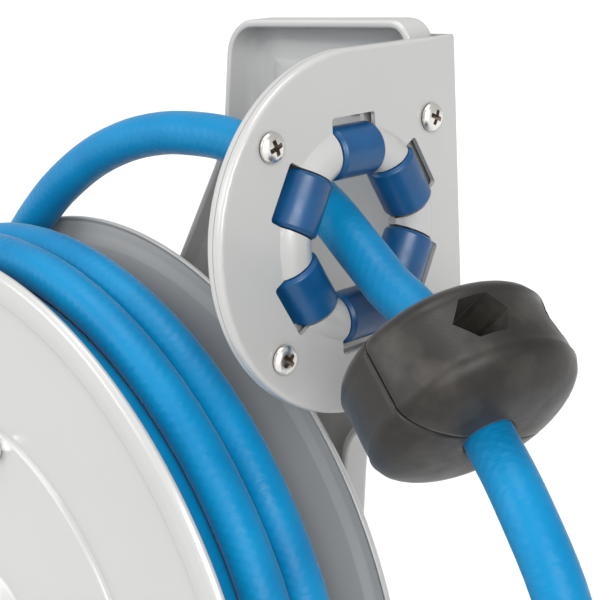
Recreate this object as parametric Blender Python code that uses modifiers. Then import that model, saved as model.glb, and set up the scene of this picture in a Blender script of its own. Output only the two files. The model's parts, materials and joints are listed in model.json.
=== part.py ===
"""Spring-retractable air hose reel: a hose drum on a fixed axle, carried by one pressed pedestal arm.

Metres, +Z up. The origin is under the drum, in the middle of the footprint, on the surface it stands on.
The drum turns about Y. The hose leaves towards +X through a ring of six rollers, and the arm is on +Y.
"""
import math

import bmesh
import bpy
import numpy as np
from mathutils import Matrix, Vector

# ---------------------------------------------------------------- driving dimensions
GAP = 0.0003                     # left between pieces that touch

HOSE_RADIUS = 0.008              # 3/8 in bore air hose, 16 mm outside
AXLE_HEIGHT = 0.184              # drum axis above the floor
FLANGE_RADIUS = 0.162            # both drum flanges
RIM_WIDTH = 0.011                # raised band round the flange's edge, across its face
RIM_HEIGHT = 0.0015              # raised band, proud of the flange
SHEET = 0.0018                   # flange and roller plate sheet
NEAR_FLANGE_Y = -0.0735          # outer face of the near flange
FAR_FLANGE_Y = -0.0043           # outer face of the far flange
BARREL_RADIUS = 0.0765           # drum core that the first layer lies on
COVER_RADIUS = 0.0985            # spring cover on the near flange
COVER_HUB_RADIUS = 0.032
COVER_HEIGHT = 0.006             # of the hub in the cover's middle
AXLE_RADIUS = 0.010
AXLE_HALF_LENGTH = 0.090         # the near end; the inlet fitting reaches as far on the other side

PLATE = 0.003                    # pedestal arm pressing
ARM_OUTER_Y = 0.0432             # outer face of the arm
ARM_DEPTH = 0.0143               # from that face to the edge of its turned-in rim
ARM_INNER_Y = ARM_OUTER_Y - PLATE

RING_CENTRE = Vector((0.153, -0.008, AXLE_HEIGHT + 0.173))
RING_PLATE_RADIUS = 0.060
RING_OPENING = 0.0350            # hole in each flat plate, its edge under the bead's foot
BEAD_RADIUS = 0.0074             # bead pressed in each plate round the roller pins, across its section
BEAD_ORBIT = 0.029               # middle of the bead from the ring's centre
NOTCH_REACH = 0.039              # roller notches end this far from the ring's centre
NOTCH_HALF = 0.0099
BEND_Y = 0.0455                  # outside of the front plate's bent flange
BEND_RADIUS = 0.004
BEND_LENGTH = 0.062
PLATE_PITCH = 0.0049             # from the front of one roller plate to the front of the other
ROLLER_RADIUS = 0.0087
ROLLER_LENGTH = 0.0188
ROLLER_ORBIT = 0.0272            # roller axes from the ring's centre
PIN_RADIUS = 0.0014
PIN_REACH = 0.005                # of a pin beyond each end of its roller
SCREW_Y = 0.0370
SCREW_Z = 0.0336

STOP_CENTRE = RING_CENTRE + Vector((0.0535, -0.0155, -0.0370))
STOP_AXIS = Vector((0.739, -0.2185, -0.634)).normalized()
STOP_UP = Vector((0.674, 0.190, 0.717))          # towards the half that holds the nuts
STOP_RADIUS = 0.034
STOP_WALL = 0.010                # half width of the cylindrical side wall
STOP_DOME = 0.0096
STOP_BOLT_OFFSET = 0.0165
STOP_BOLT_ALONG = -0.0018        # the bolts are this far along the hose from the stop's middle

TEETH = 12
RATCHET_RADIUS = 0.052
RATCHET_ROOT = 0.044
RATCHET_Y = 0.0320               # middle of the ratchet wheel
RATCHET_THICKNESS = 0.005
PAWL_ORBIT = 0.074
PAWL_ANGLE = math.radians(112)
PAWL_PIN_RADIUS = 0.004
PAWL_PIN_HEAD_RADIUS = 0.007

M5_CLEARANCE = 0.0028            # radii of the holes that bolts pass through
M6_CLEARANCE = 0.0033
M8_CLEARANCE = 0.0043
M5_BOLT = (0.0040, 0.0035, 0.0025)               # half across flats, head height, shank radius
M6_BOLT = (0.0050, 0.0040, 0.0030)
M8_BOLT = (0.0065, 0.0053, 0.0040)
AIR_PASSAGE = 0.003              # radius of the passages in the axle, swivel and fittings

STEPS = 40                       # segments of a large turned piece
SMALL_STEPS = 16                 # segments of a small turned piece

BRIGHT_GREY = (0.72, 0.72, 0.70)
HOSE_BLUE = (0.02, 0.30, 0.68)
ROLLER_BLUE = (0.03, 0.12, 0.33)
RUBBER_BLACK = (0.035, 0.033, 0.03)
ZINC = (0.75, 0.74, 0.70)
STEEL = (0.50, 0.50, 0.50)
BRASS = (0.72, 0.52, 0.22)

X_AXIS = Vector((1, 0, 0))
Y_AXIS = Vector((0, 1, 0))
Z_AXIS = Vector((0, 0, 1))
AXLE_POINT = Vector((0, 0, AXLE_HEIGHT))

# ---------------------------------------------------------------- scene and materials
for old in list(bpy.data.objects):
    bpy.data.objects.remove(old, do_unlink=True)

parts = bpy.data.collections.new("hose_reel")
cutters = bpy.data.collections.new("hose_reel_cutters")
bpy.context.scene.collection.children.link(parts)
bpy.context.scene.collection.children.link(cutters)


def finish(obj, colour, roughness, metallic=0.0):
    """Give a piece its own Principled material and put it in the parts collection."""
    mat = bpy.data.materials.new(obj.name)
    mat.use_nodes = True
    shader = mat.node_tree.nodes["Principled BSDF"]
    shader.inputs["Base Color"].default_value = (*colour, 1)
    shader.inputs["Roughness"].default_value = roughness
    shader.inputs["Metallic"].default_value = metallic
    obj.data.materials.clear()
    obj.data.materials.append(mat)
    parts.objects.link(obj)
    if obj.type == "MESH":
        obj.data.shade_smooth()
        obj.data.set_sharp_from_angle(angle=math.radians(35))
    return obj


def cutter(obj):
    """Keep a cutting shape out of the render, in the cutters collection."""
    cutters.objects.link(obj)
    obj.hide_render = True
    obj.display_type = "WIRE"
    return obj


# ---------------------------------------------------------------- shape helpers
def frame(origin, axis, up=None):
    """Matrix that puts local Z on axis, and local Y as near to up as it goes."""
    z = Vector(axis).normalized()
    if up is None:
        up = X_AXIS if abs(z.dot(Y_AXIS)) > 0.9 else Y_AXIS
    y = Vector(up) - z * z.dot(Vector(up))
    y.normalize()
    x = y.cross(z)
    return Matrix.Translation(origin) @ Matrix((x, y, z)).transposed().to_4x4()


def mesh_object(name, bm, matrix):
    mesh = bpy.data.meshes.new(name)
    bm.to_mesh(mesh)
    bm.free()
    obj = bpy.data.objects.new(name, mesh)
    obj.matrix_world = matrix
    return obj


def box(name, low, high):
    """Box between two corners, with its origin at its middle."""
    low, high = Vector(low), Vector(high)
    bm = bmesh.new()
    bmesh.ops.create_cube(bm, size=1)
    bmesh.ops.scale(bm, vec=high - low, verts=bm.verts)
    return mesh_object(name, bm, Matrix.Translation((low + high) / 2))


def prism(name, radius, start, end, origin, axis, sides=SMALL_STEPS, up=None):
    """Cylinder, or hexagon with six sides, from start to end along axis."""
    bm = bmesh.new()
    bmesh.ops.create_cone(bm, cap_ends=True, segments=sides, radius1=radius, radius2=radius,
                          depth=end - start)
    middle = Vector(origin) + Vector(axis).normalized() * (start + end) / 2
    return mesh_object(name, bm, frame(middle, axis, up))


def turned(name, profile, origin, axis, steps=STEPS, closed=True):
    """Revolve (radius, along) points about axis. They run down the outer side, then up the inner one."""
    bm = bmesh.new()
    verts = [bm.verts.new((r, 0, along)) for r, along in profile]
    for first, second in zip(verts, verts[1:]):
        bm.edges.new((first, second))
    if closed:
        bm.edges.new((verts[-1], verts[0]))
    obj = mesh_object(name, bm, frame(origin, axis))
    screw = obj.modifiers.new("turn", "SCREW")
    screw.steps = steps
    screw.render_steps = steps
    screw.use_merge_vertices = True
    screw.merge_threshold = 0.00001
    return obj


def ring_profile(inner, outer, low, high):
    return [(inner, high), (outer, high), (outer, low), (inner, low)]


def outline(name, points, start, end, matrix):
    """Flat closed outline in local XY, from start to end along local Z, as a mesh."""
    curve = bpy.data.curves.new(name, "CURVE")
    curve.dimensions = "2D"
    curve.fill_mode = "BOTH"
    curve.extrude = (end - start) / 2
    spline = curve.splines.new("POLY")
    spline.points.add(len(points) - 1)
    for point, (x, y) in zip(spline.points, points):
        point.co = (x, y, 0, 1)
    spline.use_cyclic_u = True
    shift = Matrix.Translation((0, 0, (start + end) / 2))
    return as_mesh(bpy.data.objects.new(name, curve), matrix @ shift)


def as_mesh(curve_object, matrix):
    """Turn a curve object into a mesh object of the same name, with its caps welded."""
    name = curve_object.name
    bpy.context.scene.collection.objects.link(curve_object)
    evaluated = curve_object.evaluated_get(bpy.context.evaluated_depsgraph_get())
    mesh = bpy.data.meshes.new_from_object(evaluated)
    curve = curve_object.data
    bpy.data.objects.remove(curve_object)
    bpy.data.curves.remove(curve)
    bm = bmesh.new()
    bm.from_mesh(mesh)
    bmesh.ops.remove_doubles(bm, verts=bm.verts, dist=0.000001)
    bmesh.ops.recalc_face_normals(bm, faces=bm.faces)
    bm.to_mesh(mesh)
    bm.free()
    obj = bpy.data.objects.new(name, mesh)
    obj.matrix_world = matrix
    return obj


def arc(centre, radius, first, last, count):
    """Points on an arc, angles in degrees."""
    angles = np.radians(np.linspace(first, last, count))
    return [(centre[0] + radius * math.cos(a), centre[1] + radius * math.sin(a)) for a in angles]


def rounded(corners, per_corner=5):
    """Closed outline through (x, y, radius) corners, each rounded with its own radius."""
    points = []
    for i, (x, y, radius) in enumerate(corners):
        here = Vector((x, y))
        to_last = (Vector(corners[i - 1][:2]) - here).normalized()
        to_next = (Vector(corners[(i + 1) % len(corners)][:2]) - here).normalized()
        half = to_last.angle(to_next) / 2
        middle = here + (to_last + to_next).normalized() * radius / math.sin(half)
        first = here + to_last * radius / math.tan(half) - middle
        last = here + to_next * radius / math.tan(half) - middle
        for t in np.linspace(0, 1, per_corner):
            points.append(tuple(middle + first.normalized().slerp(last.normalized(), t) * radius))
    return points


def combine(obj, other, operation):
    """Boolean with another shape, which becomes a hidden cutter."""
    cutter(other)
    modifier = obj.modifiers.new(operation.lower(), "BOOLEAN")
    modifier.operation = operation
    modifier.object = other


def drill(obj, name, radius, point, axis, depth, sides=SMALL_STEPS):
    """Round hole through both faces near a point."""
    combine(obj, prism(name, radius, -depth, depth, point, axis, sides), "DIFFERENCE")


def hex_bolt(name, point, axis, size, length):
    """Hexagon-headed bolt, its head's bearing face on the point and its shank against axis."""
    half_flats, head_height, shank = size
    bolt = prism(name, half_flats / math.cos(math.pi / 6), 0, head_height, point, axis, 6)
    combine(bolt, prism(name + "_shank", shank, -length, head_height / 2, point, axis), "UNION")
    return finish(bolt, ZINC, 0.3, 1.0)


# ---------------------------------------------------------------- base and pedestal arm
BASE_HALF_X = 0.120
BASE_HALF_Y = 0.080
BASE_THICKNESS = 0.004
BASE_CORNER = 0.015
SLOT_X, SLOT_Y = 0.103, 0.064
SLOT_HALF, SLOT_WIDTH = 0.009, 0.0045
FOOT_LAP = 0.0002                # the foot covers the rim it grows from by this much
FOOT_LOW = BASE_THICKNESS + GAP
FOOT_HIGH = FOOT_LOW + PLATE + 2 * FOOT_LAP
FOOT_HALF_X = 0.092
FOOT_INSET = 0.006               # the foot is this much narrower than the arm at each side
FOOT_FRONT_Y = -0.050
FOOT_BOLT_LENGTH = 0.0072
FOOT_BOLTS = [(x, y) for x in (-0.070, 0.070) for y in (-0.034, 0.008)]
BRACKET_BOLT_LENGTH = 0.0125
BRACKET_BOLTS = [Vector((0.112, ARM_OUTER_Y, RING_CENTRE.z + dz)) for dz in (-0.034, 0.034)]
PAWL_POINT = AXLE_POINT + PAWL_ORBIT * Vector((math.cos(PAWL_ANGLE), 0, math.sin(PAWL_ANGLE)))


def base_plate():
    signs = ((1, 1), (-1, 1), (-1, -1), (1, -1))
    corners = [(sx * BASE_HALF_X, sy * BASE_HALF_Y, BASE_CORNER) for sx, sy in signs]
    plate = outline("base_plate", rounded(corners), 0, BASE_THICKNESS, Matrix())
    for i, (sx, sy) in enumerate(signs):
        middle = Matrix.Translation((sx * SLOT_X, sy * SLOT_Y, 0))
        ends = arc((SLOT_HALF - SLOT_WIDTH, 0), SLOT_WIDTH, -90, 90, 6)
        ends += arc((SLOT_WIDTH - SLOT_HALF, 0), SLOT_WIDTH, 90, 270, 6)
        combine(plate, outline(f"slot_{i}", ends, -0.001, BASE_THICKNESS + 0.001, middle), "DIFFERENCE")
    for i, (x, y) in enumerate(FOOT_BOLTS):
        drill(plate, f"base_hole_{i}", M8_CLEARANCE, (x, y, 0), Z_AXIS, 0.02)
    finish(plate, BRIGHT_GREY, 0.35)


def arm_outline():
    """The arm in X and Z: upright around the axle, leaning forward to a head behind the roller ring."""
    ring = RING_CENTRE
    corners = [
        (ring.x - 0.101, ring.z + 0.066, 0.016),
        (ring.x - 0.008, ring.z + 0.066, 0.009),
        (ring.x - 0.008, ring.z - 0.070, 0.012),
        (ring.x - 0.047, ring.z - 0.092, 0.020),
        (0.096, AXLE_HEIGHT, 0.080),
        (FOOT_HALF_X, FOOT_LOW + FOOT_LAP, 0.004),
        (-FOOT_HALF_X, FOOT_LOW + FOOT_LAP, 0.004),
        (-0.088, AXLE_HEIGHT + 0.020, 0.080),
        (ring.x - 0.160, ring.z - 0.058, 0.060),
        (ring.x - 0.109, ring.z + 0.018, 0.060),
    ]
    return rounded(corners, 6)


def pedestal_arm():
    """A tray-shaped pressing, its rim turned in towards the drum, with a foot bent under the drum."""
    points = arm_outline()
    bm = bmesh.new()
    back = [bm.verts.new((x, ARM_OUTER_Y, z)) for x, z in points]
    web = bm.faces.new(back)
    grown = bmesh.ops.extrude_edge_only(bm, edges=list(web.edges))
    rim = [v for v in grown["geom"] if isinstance(v, bmesh.types.BMVert)]
    bmesh.ops.translate(bm, verts=rim, vec=(0, -ARM_DEPTH, 0))
    bmesh.ops.recalc_face_normals(bm, faces=bm.faces)
    if web.normal.y < 0:
        bmesh.ops.reverse_faces(bm, faces=bm.faces)
    arm = mesh_object("pedestal_arm", bm, Matrix())
    shell = arm.modifiers.new("sheet", "SOLIDIFY")
    shell.thickness = PLATE
    shell.offset = -1
    shell.use_even_offset = True
    foot = box("foot", (-FOOT_HALF_X + FOOT_INSET, FOOT_FRONT_Y, FOOT_LOW),
               (FOOT_HALF_X - FOOT_INSET, ARM_OUTER_Y - PLATE / 2, FOOT_HIGH))
    combine(arm, foot, "UNION")
    drill(arm, "axle_hole", AXLE_RADIUS + GAP, (0, ARM_OUTER_Y, AXLE_HEIGHT), Y_AXIS, 0.01, 24)
    drill(arm, "pawl_pin_hole", M8_CLEARANCE, PAWL_POINT + Y_AXIS * ARM_OUTER_Y, Y_AXIS, 0.01)
    for i, point in enumerate(BRACKET_BOLTS):
        drill(arm, f"bracket_hole_{i}", M6_CLEARANCE, point, Y_AXIS, 0.01)
    for i, (x, y) in enumerate(FOOT_BOLTS):
        drill(arm, f"foot_hole_{i}", M8_CLEARANCE, (x, y, FOOT_LOW), Z_AXIS, 0.01)
    finish(arm, BRIGHT_GREY, 0.35)


def foot_bolts():
    for i, (x, y) in enumerate(FOOT_BOLTS):
        hex_bolt(f"foot_bolt_{i + 1}", Vector((x, y, FOOT_HIGH + GAP)), Z_AXIS, M8_BOLT, FOOT_BOLT_LENGTH)


# ---------------------------------------------------------------- axle and what is fixed on it
AXLE_END = 0.060
AXLE_BORE_END = 0.006            # the bore is drilled from the arm end to here
COLLAR_RADIUS = 0.016            # collar on the axle that bears on the arm
COLLAR_LOW = RATCHET_Y + RATCHET_THICKNESS / 2 + 0.001
WASHER_RADIUS = 0.020
WASHER_THICKNESS = 0.002
WASHER_LOW = ARM_OUTER_Y + GAP
NUT_LOW = WASHER_LOW + WASHER_THICKNESS + GAP
NUT_HALF_FLATS = 0.016
NUT_HEIGHT = 0.010
SNAP_RING_RADIUS = 0.0145
SNAP_RING_THICKNESS = 0.0013
INLET_HALF_FLATS = 0.012
INLET_NIPPLE_RADIUS = 0.0068
BORE_RADIUS = 0.0045


def axle():
    """Fixed hollow shaft. Air comes in at the arm end and leaves through a cross hole."""
    near = -AXLE_HALF_LENGTH
    profile = [(0, AXLE_BORE_END), (BORE_RADIUS, AXLE_BORE_END), (BORE_RADIUS, AXLE_END),
               (AXLE_RADIUS, AXLE_END), (AXLE_RADIUS, ARM_INNER_Y - GAP),
               (COLLAR_RADIUS, ARM_INNER_Y - GAP), (COLLAR_RADIUS, COLLAR_LOW),
               (AXLE_RADIUS, COLLAR_LOW), (AXLE_RADIUS, near + 0.001), (AXLE_RADIUS - 0.001, near), (0, near)]
    shaft = turned("axle", profile, AXLE_POINT, Y_AXIS, 24, closed=False)
    outlet = AXLE_POINT + Y_AXIS * SWIVEL_PORT_Y
    port = prism("axle_port", AIR_PASSAGE, 0, AXLE_RADIUS + 0.002, outlet, RISER_DIRECTION, 12)
    combine(shaft, port, "DIFFERENCE")
    finish(shaft, STEEL, 0.3, 1.0)

    washer = turned("axle_washer", ring_profile(AXLE_RADIUS + GAP, WASHER_RADIUS, WASHER_LOW,
                                                  WASHER_LOW + WASHER_THICKNESS), AXLE_POINT, Y_AXIS, 24)
    finish(washer, ZINC, 0.35, 1.0)

    nut = prism("axle_nut", NUT_HALF_FLATS / math.cos(math.pi / 6), NUT_LOW, NUT_LOW + NUT_HEIGHT,
                AXLE_POINT, Y_AXIS, 6)
    drill(nut, "axle_nut_hole", AXLE_RADIUS + GAP, AXLE_POINT + Y_AXIS * NUT_LOW, Y_AXIS, 0.03, 24)
    finish(nut, ZINC, 0.35, 1.0)

    ring_y = -AXLE_HALF_LENGTH + 0.003
    snap = turned("retaining_ring", ring_profile(AXLE_RADIUS + GAP, SNAP_RING_RADIUS, ring_y,
                                                  ring_y + SNAP_RING_THICKNESS), AXLE_POINT, Y_AXIS, 24)
    finish(snap, STEEL, 0.4, 1.0)


def inlet_fitting():
    """Brass inlet: a spigot in the axle's bore, a hexagon, and a threaded nipple for the supply hose."""
    body = prism("inlet_fitting", INLET_HALF_FLATS / math.cos(math.pi / 6), AXLE_END + GAP, AXLE_END + 0.010,
                 AXLE_POINT, Y_AXIS, 6)
    nipple = prism("inlet_nipple", INLET_NIPPLE_RADIUS, AXLE_END + 0.009, AXLE_HALF_LENGTH,
                   AXLE_POINT, Y_AXIS)
    spigot = prism("inlet_spigot", BORE_RADIUS - GAP, AXLE_END - 0.012, AXLE_END + 0.005, AXLE_POINT, Y_AXIS)
    combine(body, nipple, "UNION")
    combine(body, spigot, "UNION")
    drill(body, "inlet_bore", AIR_PASSAGE, AXLE_POINT + Y_AXIS * AXLE_END, Y_AXIS, 0.05)
    finish(body, BRASS, 0.3, 1.0)


# ---------------------------------------------------------------- power spring
SPRING_LOW, SPRING_HIGH = -0.066, -0.022
ARBOR_RADIUS = 0.0160
SPRING_OUTER = 0.070
SPRING_TURNS = 5.5
SPRING_STRIP = 0.0012


def power_spring():
    """The arbor keyed on the axle, and the flat spiral spring that is hooked on it."""
    arbor = turned("spring_arbor", ring_profile(AXLE_RADIUS + GAP, ARBOR_RADIUS, SPRING_LOW, SPRING_HIGH),
                   AXLE_POINT, Y_AXIS, 24)
    finish(arbor, STEEL, 0.4, 1.0)

    start = ARBOR_RADIUS + SPRING_STRIP
    bm = bmesh.new()
    verts = []
    count = int(SPRING_TURNS * 16)
    for i in range(count + 1):
        angle = 2 * math.pi * SPRING_TURNS * i / count
        radius = start + (SPRING_OUTER - start) * i / count
        verts.append(bm.verts.new((radius * math.cos(angle), radius * math.sin(angle), SPRING_LOW)))
    edges = [bm.edges.new(pair) for pair in zip(verts, verts[1:])]
    grown = bmesh.ops.extrude_edge_only(bm, edges=edges)
    top = [v for v in grown["geom"] if isinstance(v, bmesh.types.BMVert)]
    bmesh.ops.translate(bm, verts=top, vec=(0, 0, SPRING_HIGH - SPRING_LOW))
    spring = mesh_object("power_spring", bm, frame(AXLE_POINT, Y_AXIS))
    strip = spring.modifiers.new("strip", "SOLIDIFY")
    strip.thickness = SPRING_STRIP
    strip.offset = 0
    finish(spring, STEEL, 0.4, 1.0)


# ---------------------------------------------------------------- drum
BUSH_RADIUS = 0.0143
COVER_HIGH = NEAR_FLANGE_Y - GAP
COVER_LOW = COVER_HIGH - COVER_HEIGHT
COVER_BOLT_ORBIT = 0.091
COVER_BOLT_ANGLES = (75, 195, 315)
RISER_DIRECTION = Vector((math.cos(math.radians(300)), 0, math.sin(math.radians(300))))
RISER_ORBIT = BARREL_RADIUS + HOSE_RADIUS + GAP
RISER_RADIUS = 0.0065
SWIVEL_LOW = FAR_FLANGE_Y + GAP
SWIVEL_HIGH = RATCHET_Y - RATCHET_THICKNESS / 2 - GAP
SWIVEL_PORT_Y = 0.011
SWIVEL_RADIUS = 0.020
SEAL_YS = (0.003, 0.019)
SEAL_GROOVE_DEPTH = 0.0020
SEAL_GROOVE_HALF = 0.0013
SOCKET_START = 0.014             # the riser pipe's socket begins this far from the axle's middle
RISER_BEND = 0.016
COIL_LOW = NEAR_FLANGE_Y + SHEET + GAP
COIL_HIGH = FAR_FLANGE_Y - SHEET - GAP


def flange(name, face, outward, hole):
    """Pressed disc with a raised band round its edge, its outer face at y = face."""
    step = FLANGE_RADIUS - RIM_WIDTH
    top = face + outward * RIM_HEIGHT
    back = face - outward * SHEET
    points = [(hole, face), (step - RIM_HEIGHT, face), (step, top), (FLANGE_RADIUS, top),
              (FLANGE_RADIUS, top - outward * SHEET), (step, top - outward * SHEET),
              (step - RIM_HEIGHT, back), (hole, back)]
    if outward < 0:
        points.reverse()
    return turned(name, points, AXLE_POINT, Y_AXIS, 64)


def drum():
    near = flange("near_flange", NEAR_FLANGE_Y, -1, BARREL_RADIUS - 0.006)
    for i, angle in enumerate(COVER_BOLT_ANGLES):
        drill(near, f"near_bolt_hole_{i}", M5_CLEARANCE, cover_bolt_point(angle), Y_AXIS, 0.03, 12)
    finish(near, BRIGHT_GREY, 0.3)

    far = flange("far_flange", FAR_FLANGE_Y, 1, BUSH_RADIUS)
    hole_point = AXLE_POINT + RISER_DIRECTION * RISER_ORBIT + Y_AXIS * FAR_FLANGE_Y
    drill(far, "riser_hole", RISER_RADIUS + 0.0005, hole_point, Y_AXIS, 0.008)
    finish(far, BRIGHT_GREY, 0.3)

    barrel = turned("drum_barrel", ring_profile(BARREL_RADIUS - 0.002, BARREL_RADIUS, COIL_LOW, COIL_HIGH),
                    AXLE_POINT, Y_AXIS)
    finish(barrel, BRIGHT_GREY, 0.35)


def cover_bolt_point(angle):
    spoke = Vector((math.cos(math.radians(angle)), 0, math.sin(math.radians(angle))))
    return AXLE_POINT + spoke * COVER_BOLT_ORBIT + Y_AXIS * (COVER_HIGH - SHEET)


def spring_cover():
    """Disc over the open near side of the drum, with a hub pressed in it that carries the near bush."""
    inside = COVER_HUB_RADIUS - SHEET
    profile = [(inside, COVER_HIGH), (COVER_RADIUS, COVER_HIGH), (COVER_RADIUS, COVER_HIGH - SHEET),
               (COVER_HUB_RADIUS + 0.002, COVER_HIGH - SHEET), (COVER_HUB_RADIUS, COVER_LOW),
               (BUSH_RADIUS, COVER_LOW), (BUSH_RADIUS, COVER_LOW + SHEET),
               (inside - 0.002, COVER_LOW + SHEET)]
    cover = turned("spring_cover", profile, AXLE_POINT, Y_AXIS)
    for i, angle in enumerate(COVER_BOLT_ANGLES):
        drill(cover, f"cover_bolt_hole_{i}", M5_CLEARANCE, cover_bolt_point(angle), Y_AXIS, 0.004, 12)
    finish(cover, BRIGHT_GREY, 0.3)
    for i, angle in enumerate(COVER_BOLT_ANGLES):
        hex_bolt(f"cover_bolt_{i + 1}", cover_bolt_point(angle) - Y_AXIS * GAP, -Y_AXIS, M5_BOLT,
                 2 * SHEET + 2 * GAP)


def bush(name, flange_face, direction, length):
    """Flanged plain bearing: the flange stands on the inner side, the sleeve runs through the hole."""
    bore = AXLE_RADIUS + 0.0001
    sleeve = BUSH_RADIUS - GAP
    profile = [(bore, 0.002), (0.018, 0.002), (0.018, 0), (sleeve, 0), (sleeve, -length), (bore, -length)]
    piece = turned(name, profile, AXLE_POINT + Y_AXIS * flange_face, direction, 24)
    finish(piece, BRASS, 0.45, 1.0)


def swivel():
    """Housing that turns on the axle and takes the air from its cross hole, with two ring seals."""
    bore = AXLE_RADIUS + GAP
    groove = bore + SEAL_GROOVE_DEPTH
    half = SEAL_GROOVE_HALF
    outer = SWIVEL_RADIUS
    profile = [(bore, SWIVEL_HIGH), (outer, SWIVEL_HIGH), (outer, SWIVEL_LOW), (bore, SWIVEL_LOW)]
    for middle in SEAL_YS:
        profile += [(bore, middle - half), (groove, middle - half)]
        profile += [(groove, middle + half), (bore, middle + half)]
    body = turned("swivel_housing", profile, AXLE_POINT, Y_AXIS, 24)
    port = AXLE_POINT + Y_AXIS * SWIVEL_PORT_Y
    socket = prism("swivel_port", RISER_RADIUS + 0.0005, SOCKET_START, 0.03, port, RISER_DIRECTION)
    combine(body, socket, "DIFFERENCE")
    duct = prism("swivel_duct", AIR_PASSAGE, 0.002, 0.03, port, RISER_DIRECTION, 12)
    combine(body, duct, "DIFFERENCE")
    finish(body, BRASS, 0.35, 1.0)

    for i, middle in enumerate(SEAL_YS):
        bpy.ops.mesh.primitive_torus_add(major_radius=AXLE_RADIUS + 0.0012, minor_radius=0.0010,
                                         major_segments=24, minor_segments=6)
        seal = bpy.context.object
        seal.name = f"swivel_seal_{i + 1}"
        seal.matrix_world = frame(AXLE_POINT + Y_AXIS * middle, Y_AXIS)
        for owner in list(seal.users_collection):
            owner.objects.unlink(seal)
        finish(seal, RUBBER_BLACK, 0.6)


def riser_pipe():
    """Pipe from the swivel, out along the far flange, and through it to the hose's inner end."""
    bend = RISER_BEND
    out = AXLE_POINT + Y_AXIS * SWIVEL_PORT_Y
    corner = out + RISER_DIRECTION * RISER_ORBIT
    start = out + RISER_DIRECTION * (SOCKET_START + GAP)
    centre = corner - RISER_DIRECTION * bend - Y_AXIS * bend
    points = [start]
    for angle in range(0, 91, 15):
        turn = math.radians(angle)
        points.append(centre + RISER_DIRECTION * bend * math.sin(turn) + Y_AXIS * bend * math.cos(turn))
    points.append(Vector((corner.x, COIL_HIGH + GAP, corner.z)))
    tube("riser_pipe", points, RISER_RADIUS, BRASS, 0.35, 1.0)


def tube(name, points, radius, colour, roughness, metallic, sides=3):
    """Round bar along points, with closed ends."""
    curve = bpy.data.curves.new(name, "CURVE")
    curve.dimensions = "3D"
    curve.bevel_depth = radius
    curve.bevel_resolution = sides
    curve.use_fill_caps = True
    curve.resolution_u = 1
    spline = curve.splines.new("POLY")
    spline.points.add(len(points) - 1)
    for point, place in zip(spline.points, points):
        point.co = (*place, 1)
    finish(bpy.data.objects.new(name, curve), colour, roughness, metallic)


# ---------------------------------------------------------------- ratchet
def ratchet():
    """Toothed wheel on the swivel housing, and the sprung pawl on the arm that holds the drum."""
    low = RATCHET_Y - RATCHET_THICKNESS / 2
    high = RATCHET_Y + RATCHET_THICKNESS / 2
    points = []
    for tooth in range(TEETH):
        turn = 2 * math.pi * tooth / TEETH + PAWL_ANGLE - math.radians(5)
        for radius, ahead in ((RATCHET_ROOT, 0), (RATCHET_RADIUS, 0.09), (RATCHET_RADIUS, 0.20)):
            points.append((radius * math.cos(turn + ahead), radius * math.sin(turn + ahead)))
    flat = Matrix.Translation(AXLE_POINT) @ Matrix.Rotation(math.radians(90), 4, "X")
    wheel = outline("ratchet_wheel", points, -high, -low, flat)
    drill(wheel, "ratchet_hole", AXLE_RADIUS + 0.0005, AXLE_POINT + Y_AXIS * RATCHET_Y, Y_AXIS, 0.02, 24)
    finish(wheel, STEEL, 0.45, 1.0)

    arm = PAWL_ORBIT - RATCHET_ROOT
    lever = rounded([(-0.009, 0.008, 0.006), (-0.009, -0.010, 0.005), (0.006, -arm + 0.0035, 0.0010),
                     (0.0095, -arm + 0.0035, 0.0008), (0.009, -0.006, 0.006), (0.009, 0.008, 0.006)], 4)
    inward = Matrix.Rotation(PAWL_ANGLE - math.pi / 2, 4, "Z")
    place = Matrix.Translation(PAWL_POINT) @ Matrix.Rotation(math.radians(90), 4, "X") @ inward
    pawl = outline("pawl", lever, -high, -low, place)
    drill(pawl, "pawl_hole", M8_CLEARANCE, PAWL_POINT + Y_AXIS * RATCHET_Y, Y_AXIS, 0.02)
    finish(pawl, ZINC, 0.4, 1.0)

    pin = prism("pawl_pin", PAWL_PIN_RADIUS, low - 0.003, ARM_OUTER_Y + 0.003, PAWL_POINT, Y_AXIS)
    head = prism("pawl_pin_head", PAWL_PIN_HEAD_RADIUS, ARM_OUTER_Y + GAP, ARM_OUTER_Y + 0.004,
                 PAWL_POINT, Y_AXIS)
    combine(pin, head, "UNION")
    finish(pin, ZINC, 0.35, 1.0)

    spring = turned("pawl_spring", ring_profile(0.0043, 0.0065, high + GAP, ARM_INNER_Y - GAP),
                    PAWL_POINT, Y_AXIS, SMALL_STEPS)
    finish(spring, STEEL, 0.4, 1.0)


# ---------------------------------------------------------------- roller ring
ROLLER_X = -(SHEET + PLATE_PITCH) / 2            # roller axes behind the front plate's face
BEAD_FOOT = 14                   # degrees up the bead's section where it runs into the flat plate
RING_STEPS = 48
PAN_HEAD_RADIUS = 0.0049
SCREW_SHANK = 0.0025
SCREW_LENGTH = 0.0075
SCREW_POINTS = [RING_CENTRE + Vector((0, sy * SCREW_Y, sz * SCREW_Z)) for sz in (1, -1) for sy in (-1, 1)]


FRONT_SHAPE_RIGHT = 0.056        # beyond the bend, so that only the near side is shaped
REAR_PLATE_RIGHT = 0.0475
PLATE_CORNER = 0.004


def d_outline(right):
    """Roller plate in (Y, Z) from the ring's centre: half round, with straight top, bottom and far edges."""
    r, corner = RING_PLATE_RADIUS, PLATE_CORNER
    return arc((0, 0), r, 90, 270, 19) + [(right - corner, -r), (right, -r + corner), (right, r - corner),
                                         (right - corner, r)]


def ring_frame():
    """Matrix that lays an outline drawn in (Y, Z) in the roller ring's plane."""
    return Matrix.Translation(RING_CENTRE) @ Matrix((Y_AXIS, Z_AXIS, X_AXIS)).transposed().to_4x4()


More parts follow.
